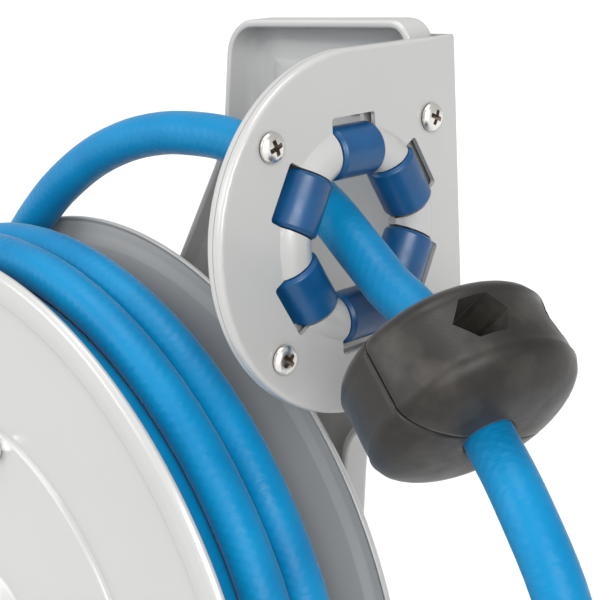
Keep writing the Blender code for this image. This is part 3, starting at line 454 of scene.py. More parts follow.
def merged(*parts):
    """One bmesh from several."""
    whole = bmesh.new()
    for part in parts:
        mesh = mesh_of("part", part)
        whole.from_mesh(mesh)
        bpy.data.meshes.remove(mesh)
    return whole


def bolt(name, point, axis, size, length, material, body):
    """Hexagon-headed bolt with a washer face, its bearing face on the point, in the place of its CAD node."""
    across, height, shank = size
    place = frame_on(point, axis)
    face_radius = across * 0.47
    face = [(0, 0), (face_radius, 0), (face_radius, 0.0006), (0, 0.0006)]
    turns = max(3, int(length / 0.0009))
    rod = [(0, 0.0002), (shank, 0.0001)]
    for i in range(turns):
        along = -length * (i + 0.5) / turns
        rod += [(shank, along + length * 0.25 / turns), (shank * 0.86, along - length * 0.25 / turns)]
    rod += [(shank * 0.8, -length), (0, -length)]
    whole = merged(hexagon(across, 0.0004, height, place), lathe(face, 48, False, place),
                   lathe(rod, 32, False, place))
    return piece(name, whole, material, body, smooth=30)


# ------------------------ pressed sheet
def distances(points, outline):
    """Distance of each point to a closed outline."""
    p = np.asarray(points, float)
    a = np.asarray(outline, float)
    b = np.roll(a, -1, axis=0)
    best = np.full(len(p), 1e9)
    for start, end in zip(a, b):
        edge = end - start
        t = np.clip(((p - start) @ edge) / max(edge @ edge, 1e-18), 0, 1)
        best = np.minimum(best, np.linalg.norm(p - start - t[:, None] * edge, axis=1))
    return best


def within(points, loops):
    """True for points inside an odd number of loops."""
    p = np.asarray(points, float)
    inside = np.zeros(len(p), bool)
    for loop in loops:
        a = np.asarray(loop, float)
        b = np.roll(a, -1, axis=0)
        for (x0, y0), (x1, y1) in zip(a, b):
            crosses = (y0 > p[:, 1]) != (y1 > p[:, 1])
            if y0 != y1:
                inside ^= crosses & (p[:, 0] < (x1 - x0) * (p[:, 1] - y0) / (y1 - y0) + x0)
    return inside


def dense(outline, spacing):
    """The outline with points added so that none of its sides is longer than spacing."""
    points = []
    for first, second in zip(outline, outline[1:] + outline[:1]):
        first, second = np.array(first), np.array(second)
        count = max(1, ceil(np.linalg.norm(second - first) / spacing))
        points += [tuple(first + (second - first) * k / count) for k in range(count)]
    return points


def contours(outline, depths):
    """Points on lines parallel to an outline, at each depth inside it."""
    p = np.array(outline)
    ahead = np.roll(p, -1, axis=0) - np.roll(p, 1, axis=0)
    ahead /= np.linalg.norm(ahead, axis=1)[:, None]
    inward = np.stack([-ahead[:, 1], ahead[:, 0]], axis=1)
    if not within(p[:1] + inward[:1] * 0.0005, [outline])[0]:
        inward = -inward
    found = []
    for depth in depths:
        candidates = p + inward * depth
        keep = within(candidates, [outline]) & (distances(candidates, outline) > depth * 0.995 - 0.00001)
        found += [tuple(q) for q in candidates[keep]]
    return found


def grid(outline, spacing, clear, holes=()):
    """Points of a square grid inside an outline, clear of its edge by a distance."""
    p = np.array(outline)
    (x0, y0), (x1, y1) = p.min(0), p.max(0)
    xs = np.arange(x0 + spacing / 2, x1, spacing)
    ys = np.arange(y0 + spacing / 2, y1, spacing)
    points = np.array([(x, y) for x in xs for y in ys])
    keep = within(points, [outline]) & (distances(points, outline) > clear)
    for hole in holes:
        keep &= ~within(points, [hole]) & (distances(points, hole) > clear)
    return [tuple(q) for q in points[keep]]


def sheet(loops, extra, front, back, place):
    """Bmesh of a closed sheet: front and back surfaces over the region inside the loops, joined by walls.

    front and back give a height for an array of points, and place turns (x, y, height) into a position.
    """
    points = [q for loop in loops for q in loop]
    edges = []
    start = 0
    for loop in loops:
        edges += [(start + k, start + (k + 1) % len(loop)) for k in range(len(loop))]
        start += len(loop)
    points += extra
    flat, _, triangles, *_ = delaunay_2d_cdt([Vector(q) for q in points], edges, [], 0, 1e-7)
    flat = np.array([tuple(q) for q in flat])
    triangles = np.array(triangles)
    middles = flat[triangles].mean(axis=1)
    triangles = triangles[within(middles, loops)]
    used = np.unique(triangles)
    bm = bmesh.new()
    tops, bottoms = {}, {}
    heights = front(flat[used]), back(flat[used])
    for k, index in enumerate(used):
        tops[index] = bm.verts.new(place(*flat[index], heights[0][k]))
        bottoms[index] = bm.verts.new(place(*flat[index], heights[1][k]))
    sides = {}
    for a, b, c in triangles:
        bm.faces.new((tops[a], tops[b], tops[c]))
        bm.faces.new((bottoms[c], bottoms[b], bottoms[a]))
        sides.update(dict.fromkeys(((a, b), (b, c), (c, a))))
    for a, b in sides:
        if (b, a) not in sides:
            bm.faces.new((tops[b], tops[a], bottoms[a], bottoms[b]))
    return bm


def level_sheet(loops, extra, low, high, eased):
    """Level sheet between two heights, its edges eased through (distance from the edge, drop) points."""
    def drop(points):
        nearest = np.min([distances(points, loop) for loop in loops], axis=0)
        return np.interp(nearest, *zip(*eased))

    return sheet(loops, extra, lambda points: high - drop(points), lambda points: low + drop(points),
                 lambda x, y, height: (x, y, height))


# ------------------------ hose route, as in the CAD model
# The arc's and the tail's points are measured from the ring's centre. LAYERS gives each layer's radius
# and where its turns lie along the axle.
LAST_TURN_RADIUS, LAST_TURN_Y = 0.1452, -0.0153
LAST_TURN_FROM, LAST_TURN_TO = 240, 132  # degrees round the drum
SLACK_ARC = [(-0.1940, -0.0074, -0.0235), (-0.1785, -0.0073, -0.0107), (-0.1620, -0.0066, 0.0020),
             (-0.1410, -0.0052, 0.0145), (-0.1220, -0.0038, 0.0222), (-0.1045, -0.0025, 0.0265),
             (-0.0850, -0.0012, 0.0283), (-0.0595, 0.0000, 0.0268), (-0.0365, -0.0002, 0.0196),
             (-0.0136, -0.0012, 0.0074), (0.0012, -0.0034, -0.0026), (0.0089, -0.0048, -0.0076),
             (0.0190, -0.0068, -0.0140)]
STOP_STRAIGHT = 0.022
TAIL = [(0.0880, -0.0290, -0.0640), (0.1028, -0.0330, -0.0850), (0.1140, -0.0355, -0.1160),
        (0.1200, -0.0372, -0.1550), (0.1235, -0.0386, -0.2050), (0.1250, -0.0395, -0.2450)]
TOUCHDOWN = Vector((0.2795, -0.0490, 0))
TOUCHDOWN_RADIUS = 0.075
FLOOR_LOOP_RADIUS = 0.080
FLOOR_LOOP_FROM, FLOOR_LOOP_TO = -90, 180  # degrees round the loop on the floor
FLOOR_REST = HOSE_RADIUS + 0.0003
LAYERS = [(0.0850, (-0.0634, -0.0473, -0.0312, -0.0151)), (0.0992, (-0.0231, -0.0392, -0.0553)),
          (0.1134, (-0.0634, -0.0473, -0.0312, -0.0151)), (0.1276, (-0.0231, -0.0392, -0.0553)),
          (0.1437, (-0.0634,)), (0.1418, (-0.0473, -0.0313)), (0.1568, (-0.0535, -0.0373))]
WINDING_START = 300  # degrees round the drum where each turn begins and ends
CROSSING = 60  # degrees over which a turn moves across to the next
TURN_POINTS = 60


def polar(angle, radius, y):
    """Point at an angle round the axle, in degrees, and at a distance from its line."""
    turn = radians(angle)
    return Vector((radius * cos(turn), y, AXLE_HEIGHT + radius * sin(turn)))


def slack_route():
    """Off the drum, over the arc, through the rollers and the stop, and down to the loop on the floor."""
    points = [polar(angle, LAST_TURN_RADIUS, LAST_TURN_Y)
              for angle in range(LAST_TURN_FROM, LAST_TURN_TO - 1, -12)]
    points += [RING_CENTRE + Vector(p) for p in SLACK_ARC]
    points += [STOP_CENTRE - STOP_AXIS * STOP_STRAIGHT, STOP_CENTRE + STOP_AXIS * STOP_STRAIGHT]
    points += [RING_CENTRE + Vector(p) for p in TAIL]
    start = radians(FLOOR_LOOP_FROM)
    heading = Vector((-sin(start), cos(start), 0))
    for angle in (0, 30, 60):
        turn = radians(angle)
        points.append(TOUCHDOWN + heading * TOUCHDOWN_RADIUS * (1 - cos(turn))
                      + Z_AXIS * (FLOOR_REST + TOUCHDOWN_RADIUS * (1 - sin(turn))))
    outward = Vector((cos(start), sin(start), 0))
    centre = TOUCHDOWN + heading * TOUCHDOWN_RADIUS - outward * FLOOR_LOOP_RADIUS
    for angle in range(FLOOR_LOOP_FROM, FLOOR_LOOP_TO + 1, 18):
        turn = radians(angle)
        points.append(centre + Vector((cos(turn), sin(turn), 0)) * FLOOR_LOOP_RADIUS
                      + Z_AXIS * FLOOR_REST)
    return points


def smooth_path(points, spacing):
    """Even points, about spacing apart, on a Catmull-Rom curve through the given ones."""
    ends = [points[0] * 2 - points[1]] + points + [points[-1] * 2 - points[-2]]
    steps = 24
    fine = []
    for p0, p1, p2, p3 in zip(ends, ends[1:], ends[2:], ends[3:]):
        for t in np.linspace(0, 1, steps, endpoint=False):
            fine.append(0.5 * (2 * p1 + (p2 - p0) * t + (2 * p0 - 5 * p1 + 4 * p2 - p3) * t * t
                               + (3 * p1 - p0 - 3 * p2 + p3) * t ** 3))
    fine.append(points[-1])
    path = np.array([tuple(p) for p in fine])
    along = np.concatenate([[0], np.cumsum(np.linalg.norm(np.diff(path, axis=0), axis=1))])
    wanted = np.linspace(0, along[-1], round(along[-1] / spacing) + 1)
    return np.stack([np.interp(wanted, along, path[:, k]) for k in range(3)], axis=1)


def length_of(path):
    """Length of a path along its points."""
    return float(np.linalg.norm(np.diff(path, axis=0), axis=1).sum())


def ease(t):
    return t * t * (3 - 2 * t)


def winding_route():
    """All the turns on the drum, from the riser pipe out to where the slack stretch begins."""
    seats = [(radius, y) for radius, ys in LAYERS for y in ys]
    points = []
    for i, (radius, y) in enumerate(seats):
        for k in range(TURN_POINTS):
            angle = 360 * k / TURN_POINTS
            r, place = radius, y
            if angle > 360 - CROSSING and i + 1 < len(seats):
                t = ease((angle - 360 + CROSSING) / CROSSING)
                r += (seats[i + 1][0] - radius) * t
                place += (seats[i + 1][1] - y) * t
            points.append(polar(WINDING_START - angle, r, place))
    start, end_angle, end_radius, end_y = seats[-1], LAST_TURN_FROM, LAST_TURN_RADIUS, LAST_TURN_Y
    over = seats[-3]  # the turn that the hose passes over as it leaves the outer layer
    reach = HOSE_RADIUS * 2 + 0.0002
    first = atan2(start[0] - over[0], start[1] - over[1])
    last = atan2(end_radius - over[0], end_y - over[1])
    for t in np.linspace(0, 1, 12):
        turn = first + (last - first) * ease(t)
        points.append(polar(WINDING_START - (WINDING_START - end_angle) * t, over[0] + reach * sin(turn),
                            over[1] + reach * cos(turn)))
    return points


def tube(path, radius, sides):
    """Bmesh of a round tube along a path, with UV in metres: along its length, and round it."""
    path = np.asarray(path, float)
    tangents = np.gradient(path, axis=0)
    tangents /= np.linalg.norm(tangents, axis=1)[:, None]
    normal = np.cross(tangents[0], (0, 0, 1.0))
    if np.linalg.norm(normal) < 0.1:
        normal = np.cross(tangents[0], (0, 1.0, 0))
    normal /= np.linalg.norm(normal)
    along = np.concatenate([[0], np.cumsum(np.linalg.norm(np.diff(path, axis=0), axis=1))])
    angles = np.linspace(0, 2 * pi, sides, endpoint=False)
    verts = []
    for place, tangent in zip(path, tangents):
        normal = normal - tangent * (normal @ tangent)
        normal /= np.linalg.norm(normal)
        other = np.cross(tangent, normal)
        verts += [tuple(place + radius * (cos(a) * normal + sin(a) * other)) for a in angles]
    faces, coordinates = [], []
    for i in range(len(path) - 1):
        for k in range(sides):
            corners = ((i, k), (i, k + 1), (i + 1, k + 1), (i + 1, k))
            faces.append([row * sides + column % sides for row, column in corners])
            coordinates += [(along[row], 2 * pi * radius * column / sides) for row, column in corners]
    last = (len(path) - 1) * sides
    faces += [tuple(range(sides - 1, -1, -1)), tuple(range(last, last + sides))]
    coordinates += [(0, radius)] * (2 * sides)
    mesh = bpy.data.meshes.new("tube")
    mesh.from_pydata(verts, [], faces)
    layer = mesh.uv_layers.new(name="UVMap")
    layer.data.foreach_set("uv", np.array(coordinates, np.float32).ravel())
    mesh.update()
    bm = bmesh.new()
    bm.from_mesh(mesh)
    bpy.data.meshes.remove(mesh)
    return bm


def hoses():
    """The wound hose and its slack stretch, each with the path that it follows."""
    cover = hose_cover()
    slack_path = smooth_path(slack_route(), spacing=0.006)
    slack_tube = tube(slack_path, HOSE_RADIUS, sides=40)
    slack = piece("slack_hose", slack_tube, cover, "stand", "hose_run", weighted=False)
    wound_path = smooth_path(winding_route(), spacing=0.012)
    wound_tube = tube(wound_path, HOSE_RADIUS, sides=32)
    wound = piece("wound_hose", wound_tube, cover, "drum", "hose_coil", weighted=False)
    return slack, slack_path, wound, wound_path


# ------------------------ drum
def flange(name, face, outward, hole, material):
    """Pressed disc, its outer face at y = face, with a crisp step up to a rounded band at its edge."""
    rim = FLANGE_RADIUS
    step = rim - RIM_WIDTH
    section = [(hole, 0, 0), (step - 0.0008, 0, 0.0006), (step + 0.0004, 0.0014, 0.0006),
               (step + 0.0045, 0.0021, 0.012), (rim - 0.0014, 0.0013, 0.0022), (rim, -0.0006, 0.0010),
               (rim - 0.0004, -0.0022, 0.0005), (rim - 0.0022, -0.0012, 0.0010),
               (step + 0.0045, 0.0008 - SHEET, 0.010), (step - 0.0004, -SHEET, 0.0060), (hole, -SHEET, 0)]
    corners = [(radius, face + outward * along, rounding) for radius, along, rounding in section]
    on_axle(name, corners, material, "drum", steps=240, per_corner=5)


def drum(paint, zinc):
    """Two flanges, the barrel between them, and the dished spring cover with its bolts."""
    flange("near_flange", NEAR_FLANGE_Y, -1, BARREL_RADIUS - 0.006, paint)
    flange("far_flange", FAR_FLANGE_Y, 1, BUSH_RADIUS, paint)
    low, high = NEAR_FLANGE_Y + SHEET + GAP, FAR_FLANGE_Y - SHEET - GAP
    wall = 0.002
    on_axle("drum_barrel", [(BARREL_RADIUS - wall, high, 0), (BARREL_RADIUS, high, 0.0003),
                            (BARREL_RADIUS, low, 0.0003), (BARREL_RADIUS - wall, low, 0)], paint, "drum")
    face = COVER_HIGH - SHEET
    inside = COVER_HUB_RADIUS - SHEET
    on_axle("spring_cover", [(inside, COVER_HIGH, 0.001), (COVER_RADIUS, NEAR_FLANGE_Y, 0),
                             (COVER_RADIUS - 0.0004, face, 0.0012), (COVER_HUB_RADIUS + 0.004, face, 0.003),
                             (COVER_HUB_RADIUS, COVER_LOW, 0.0025), (BUSH_RADIUS, COVER_LOW, 0.0004),
                             (BUSH_RADIUS, COVER_LOW + SHEET, 0), (inside - 0.002, COVER_LOW + SHEET, 0.001)],
            paint, "drum", steps=200)
    for i, angle in enumerate(COVER_BOLT_ANGLES):
        point = polar(angle, COVER_BOLT_ORBIT, face - GAP)
        bolt(f"cover_bolt_{i + 1}", point, -Y_AXIS, SMALL_HEAD, COVER_BOLT_LENGTH, zinc, "drum")


# ------------------------ arm
def arm_outline():
    """The arm from its side, as (x, z) points: a head beside the rollers and a waisted leg to the foot."""
    x, z = RING_CENTRE.x, RING_CENTRE.z
    foot = 0.0045
    return rounded([
        (x - 0.101, z + 0.066, 0.016), (x - 0.008, z + 0.066, 0.009), (x - 0.008, z - 0.070, 0.012),
        (x - 0.047, z - 0.092, 0.020), (0.096, AXLE_HEIGHT, 0.080), (0.092, foot, 0.004),
        (-0.092, foot, 0.004), (-0.088, AXLE_HEIGHT + 0.020, 0.080), (x - 0.160, z - 0.058, 0.060),
        (x - 0.109, z + 0.018, 0.060),
    ], 10)


def pedestal_arm(paint):
    """Tray pressing: a rounded rim, a steep wall, a wide fillet, and a panel raised a little in the web."""
    outline = dense(arm_outline(), 0.0045)
    rim = ARM_DEPTH
    front = [(0, rim - 0.0010), (0.0003, rim - 0.0004), (0.0009, rim), (0.0020, rim), (0.0027, rim - 0.0004),
             (0.0030, rim - 0.0012), (0.0036, 0.0085), (0.0042, 0.0066), (0.0054, 0.0050), (0.0072, 0.0038),
             (0.0092, 0.0032), (0.0112, PLATE), (0.0150, PLATE), (0.0163, PLATE + 0.0002),
             (0.0180, PLATE + 0.0007), (0.0197, PLATE + 0.0009), (0.30, PLATE + 0.0009)]
    back = [(0, 0.0040), (0.0003, 0.0025), (0.0012, 0.0011), (0.0025, 0.0003), (0.0040, 0), (0.0150, 0),
            (0.0163, 0.0001), (0.0180, 0.0005), (0.0197, 0.0007), (0.30, 0.0007)]
    depths = sorted({depth for depth, _ in front + back if 0 < depth < 0.1})
    extra = contours(outline, depths) + grid(outline, 0.007, 0.0215)

    def surface(profile):
        return lambda points: np.interp(distances(points, outline), *zip(*profile))

    web = sheet([outline], extra, surface(front), surface(back),
                lambda x, z, height: (x, ARM_OUTER_Y - height, z))
    foot_outline = dense(rounded([(-0.086, -0.050, 0.010), (0.086, -0.050, 0.010),
                                  (0.086, 0.040, 0.001), (-0.086, 0.040, 0.001)]), 0.02)
    foot = level_sheet([foot_outline], contours(foot_outline, (0.0002, 0.0008)), 0.0043, 0.0076,
                       [(0, 0.0007), (0.0002, 0.0003), (0.0008, 0), (0.1, 0)])
    piece("pedestal_arm", merged(web, foot), paint, "stand")


def base_plate(paint):
    """Plate with rounded corners and an anchor slot near each of them."""
    corners = [(x, y, BASE_CORNER) for x, y in ((BASE_X, BASE_Y), (-BASE_X, BASE_Y), (-BASE_X, -BASE_Y),
                                                (BASE_X, -BASE_Y))]
    outline = dense(rounded(corners, 10), 0.02)
    slots = []
    for sx, sy in ((1, 1), (-1, 1), (-1, -1), (1, -1)):
        x, y = sx * SLOT_X, sy * SLOT_Y
        slots.append(arc((x + SLOT_RADIUS, y), SLOT_RADIUS, -90, 90, 13)
                     + arc((x - SLOT_RADIUS, y), SLOT_RADIUS, 90, 270, 13))
    extra = contours(outline, (0.0002, 0.0009)) + grid(outline, 0.012, 0.004, slots)
    for slot in slots:
        middle = np.mean(slot, axis=0)
        for grow in (1.06, 1.2):
            extra += [tuple(middle + (np.array(q) - middle) * grow) for q in slot]
    eased = [(0, 0.0008), (0.0002, 0.0004), (0.0009, 0), (0.2, 0)]
    plate = level_sheet([outline] + slots, extra, 0, BASE_PLATE, eased)
    piece("base_plate", plate, paint, "stand")


# ------------------------ roller ring
INNER_RADIUS = BEAD_ORBIT - BEAD_RADIUS
SEAM = 0.0032  # depth of each plate's edge, from its face to the seam between them
NOTCH_CORNER = 0.0012
NOTCH_STEP = 0.0006  # between the outline's points along a notch's sides
BEAD_EDGE = 0.043  # outside this distance from the ring's centre the plates are flat
REAR_PLATE_DEPTH = 0.0067  # the rear plate's face, behind the front plate's
REAR_PLATE_SIDE = 0.0473  # its straight side, from the ring's centre
ROLLER_ANGLES = range(30, 360, 60)
PIN_RADIUS = 0.0014
PIN_REACH = 0.005  # roller pins beyond the rollers' ends
SCREW_Y, SCREW_Z = 0.0370, 0.0336  # ring screws from the ring's centre
SCREW_TURNS = (20, 65, 40, 10)  # how far each screw's cross is turned


def ring_hole():
    """The opening and the six roller notches as one outline, in (y, z) from the ring's centre."""
    points = []
    reach = sqrt(INNER_RADIUS ** 2 - NOTCH_HALF ** 2)
    side_steps = np.arange(reach + NOTCH_STEP, NOTCH_REACH - NOTCH_CORNER - 0.0003, NOTCH_STEP)
    corner_reach = NOTCH_REACH - NOTCH_CORNER
    corner_side = NOTCH_HALF - NOTCH_CORNER
    spare = asin(NOTCH_HALF / INNER_RADIUS)
    for angle in ROLLER_ANGLES:
        turn = radians(angle)
        out = np.array((cos(turn), sin(turn)))
        side = np.array((-sin(turn), cos(turn)))
        local = [(reach, -NOTCH_HALF)] + [(s, -NOTCH_HALF) for s in side_steps]
        local += arc((corner_reach, -corner_side), NOTCH_CORNER, -90, 0, 5)
        local += arc((corner_reach, corner_side), NOTCH_CORNER, 0, 90, 5)
        local += [(s, NOTCH_HALF) for s in side_steps[::-1]] + [(reach, NOTCH_HALF)]
        points += [tuple(out * s + side * t) for s, t in local]
        for part in (0.25, 0.5, 0.75):
            between = turn + spare + (pi / 3 - 2 * spare) * part
            points.append((INNER_RADIUS * cos(between), INNER_RADIUS * sin(between)))
    return points


def bead_height(radius):
    """Height of the pressed bead over the plate's face, with a fillet where it meets the plate."""
    reach = np.clip(radius - BEAD_ORBIT, -BEAD_RADIUS, BEAD_RADIUS)
    dome = np.sqrt(np.maximum(BEAD_RADIUS ** 2 - reach ** 2, 0)) - PIN_DEPTH
    flat = np.where(radius < BEAD_ORBIT, -1.0, 0.0)
    apart = dome - flat
    blend = 0.0016
    soft = 0.5 * (dome + flat + np.sqrt(apart ** 2 + blend ** 2))
    soft -= 0.5 * blend * np.exp(-(apart / 0.004) ** 2)
    return np.where(radius > BEAD_ORBIT, np.maximum(soft, 0), dome)


def ring_plate(name, outline, edge_scale, place, material):
    """One roller plate: flat face, rounded and turned-back edge, pressed bead, notches."""
    hole = ring_hole()
    radii = [BEAD_ORBIT + BEAD_RADIUS * cos(a) for a in np.radians(np.arange(172, 20, -8))]
    radii += [0.0361, 0.0368, 0.0376, 0.0386, 0.0400, 0.0420]
    turns = [2 * pi * (k + 0.5) / 150 for k in range(150)]
    extra = [(radius * cos(turn), radius * sin(turn)) for radius in radii for turn in turns]
    clear = (distances(extra, hole) > 0.0004) & ~within(extra, [hole])
    extra = [q for q, keep in zip(extra, clear) if keep]
    edge = [(0, 0.0016), (0.0002, 0.0009), (0.0005, 0.00045), (0.0010, 0.0001), (0.0017, 0), (0.3, 0)]
    extra += contours(outline, (0.0002, 0.0005, 0.0010, 0.0017, 0.0024))
    extra += [q for q in grid(outline, 0.006, 0.004) if hypot(*q) > 0.045]

    def front(points):
        radius = np.linalg.norm(points, axis=1)
        drop = np.interp(distances(points, outline), *zip(*edge)) * edge_scale(points)
        return np.where(radius < BEAD_EDGE, bead_height(radius), 0) - drop

    def back(points):
        radius = np.linalg.norm(points, axis=1)
        depth = np.interp(distances(points, outline), [0, 0.0017, 0.0024, 1], [SEAM, SEAM, SHEET, SHEET])
        turned_back = SHEET + (depth - SHEET) * edge_scale(points)
        hollow = np.where(radius < BEAD_EDGE, np.maximum(bead_height(radius), -SEAM + SHEET), 0)
        return hollow - np.where(radius < BEAD_EDGE, SHEET, turned_back)

    piece(name, sheet([outline, hole], extra, front, back, place), material, "stand", smooth=32)


def plate_outline(side, corner):
    """Outline in (y, z): half a disc, and a straight part with rounded corners as far as side."""
    half = RING_PLATE_RADIUS
    square = [(0, -half, 0), (side, -half, corner), (side, half, corner), (0, half, 0)]
    return dense(arc((0, 0), half, 90, 270, 90) + rounded(square, 6)[1:-1], 0.003)


def ring_plates(paint):
    """The front plate, which bends back along the arm, and the flat rear plate behind it."""
    quarter = BEND_RADIUS * pi / 2
    developed = BEND_START + quarter + BEND_LENGTH - BEND_RADIUS

    def bent(y, z, height):
        """Carry the flat sheet's far part round the bend, back along the arm."""
        if y <= BEND_START:
            return RING_CENTRE + Vector((height, y, z))
        angle = (y - BEND_START) / BEND_RADIUS
        reach = BEND_RADIUS + height
        if angle < pi / 2:
            x = reach * cos(angle) - BEND_RADIUS
            return RING_CENTRE + Vector((x, BEND_START + reach * sin(angle), z))
        back = y - BEND_START - quarter
        return RING_CENTRE + Vector((-BEND_RADIUS - back, BEND_START + reach, z))

    def only_before_bend(points):
        return np.interp(points[:, 0], [0.030, 0.044], [1, 0.25])

    ring_plate("roller_plate_front", plate_outline(developed, 0.006), only_before_bend, bent, paint)
    ring_plate("roller_plate_rear", plate_outline(REAR_PLATE_SIDE, 0.004), lambda points: 1.0,
               lambda y, z, height: RING_CENTRE + Vector((-REAR_PLATE_DEPTH - height, y, z)), paint)


def rollers(plastic, steel):
    """Six rollers round the opening, each with a shallow recess in its ends, and their pins."""
    half = ROLLER_LENGTH / 2
    chamfer = 0.0011
    recess = 0.0008
    bore = 0.0017
    section = mirrored([(bore, half - recess, 0), (0.0045, half - recess, 0.0004), (0.0052, half, 0.0003),
                        (ROLLER_RADIUS - chamfer, half, 0.0004), (ROLLER_RADIUS, half - chamfer, 0.0006)])
    pin = mirrored([(0, half + PIN_REACH, 0), (PIN_RADIUS, half + PIN_REACH, 0.0005)])
    for i, angle in enumerate(ROLLER_ANGLES):
        turn = radians(angle)
        spoke = Vector((0, cos(turn), sin(turn)))
        along = Vector((0, -sin(turn), cos(turn)))
        middle = RING_CENTRE - X_AXIS * PIN_DEPTH + spoke * ROLLER_ORBIT
        roller = f"roller_{i + 1}"
        turned(roller, section, middle, along, plastic, roller, steps=72)
        turned(f"roller_pin_{i + 1}", pin, middle, along, steel, "stand", steps=32, closed=False)


def pan_screws(nickel, recess_shade):
    """Pan heads with a cross recess, each turned its own way."""
    profile = [(0, 0.0028), (0.0012, 0.00275), (0.0024, 0.0026), (0.0034, 0.0023), (0.0042, 0.0018),
               (0.0047, 0.0012), (0.0049, 0.0005), (0.0048, 0), (0.0025, 0), (0.0025, -0.0075), (0, -0.0075)]
    for i, (sz, sy) in enumerate(((1, -1), (1, 1), (-1, -1), (-1, 1))):
        place = frame_on(RING_CENTRE + Vector((GAP, sy * SCREW_Y, sz * SCREW_Z)), X_AXIS, Z_AXIS)
        name = f"ring_screw_{i + 1}"
        screw = lathe(profile, 64, False, place)
        head = piece(name, screw, nickel, "stand", smooth=40, weighted=False)
        for quarter in (0, 90):
            slit = bmesh.new()
            for v in bmesh.ops.create_cube(slit, size=1)["verts"]:
                length, width, height = (0.0020, 0.0011, 0.0004) if v.co.z < 0 else (0.0068, 0.0017, 0.0036)
                v.co = Vector((v.co.x * length, v.co.y * width, height))
            slit.transform(place @ Matrix.Rotation(radians(SCREW_TURNS[i] + quarter), 4, "Z"))
            carve(head, slit)
        darken_recess(head, place, profile, recess_shade)


def darken_recess(head, place, profile, recess_shade):
    """Painted shade in the cross recess: the faces sunk below the head's dome take a darker brown material of
    their own.
    """
    head.data.materials.append(recess_shade)
    to_screw = place.inverted()
    dome = sorted((x, z) for x, z in profile if z >= 0.0005)
    for face in head.data.polygons:
        centre = to_screw @ face.center
        out = hypot(centre.x, centre.y)
        height = next((a[1] + (b[1] - a[1]) * (out - a[0]) / (b[0] - a[0])
                       for a, b in zip(dome, dome[1:]) if a[0] <= out <= b[0]), 0)
        # faces sunk in the recess get the painted shade material
        if 0 < centre.z < height - 0.00012:
            face.material_index = 1


def carve(obj, shape):
    """Cut a bmesh out of a piece at once, so that no cutter stays in the scene."""
    cutter = bpy.data.objects.new("cutter", mesh_of("cutter", shape))
    bpy.context.scene.collection.objects.link(cutter)
    modifier = obj.modifiers.new("carve", "BOOLEAN")
    modifier.operation = "DIFFERENCE"
    modifier.solver = "EXACT"
    modifier.use_self = True
    modifier.object = cutter
    evaluated = obj.evaluated_get(bpy.context.evaluated_depsgraph_get())
    mesh = bpy.data.meshes.new_from_object(evaluated)
    mesh.name = obj.name
    obj.modifiers.clear()
    obj.data = mesh
    bpy.data.objects.remove(cutter)


# ------------------------ hose stop
NUT_ACROSS, NUT_LOW, NUT_HIGH = 0.0128, 0.0093, 0.0140  # low and high are measured from the seam
NUT_POCKET, NUT_POCKET_FLOOR = 0.0135, 0.009
HEAD_POCKET_RADIUS, HEAD_POCKET_FLOOR = 0.0066, 0.015
STOP_BORE_RADIUS = 0.0033


def stop_profile():
    """Half section of the stop: radius and distance along the hose, from the bore round the outside."""
    bore = HOSE_RADIUS + 0.0003
    end = STOP_WALL + STOP_DOME
    upper = [(bore, end - 0.0010), (bore + 0.0002, end - 0.0003)]
    for t in np.linspace(0, 1, 22):
        bulge = (1 - t ** 2.4) ** 0.62
        upper.append((bore + 0.0008 + (STOP_RADIUS - 0.0006 - bore) * t, STOP_WALL + STOP_DOME * bulge))
    return mirrored(upper + [(STOP_RADIUS - 0.0001, STOP_WALL - 0.0012), (STOP_RADIUS, STOP_WALL - 0.0030)])


def stop_bolt_point(sign):
    across = STOP_UP.cross(STOP_AXIS).normalized()
    return STOP_CENTRE + across * sign * STOP_BOLT_OFFSET + STOP_AXIS * STOP_BOLT_ALONG


def stop_nut_place(sign):
    """Where a stop bolt's line crosses the seam, with the nut's corners turned to where they sit."""
    return frame_on(stop_bolt_point(sign), STOP_UP, STOP_AXIS) @ Matrix.Rotation(radians(30), 4, "Z")


def round_cutter(radius, low, high, steps, place):
    """Bmesh of a plain round cutter."""
    return lathe([(0, high), (radius, high), (radius, low), (0, low)], steps, False, place)


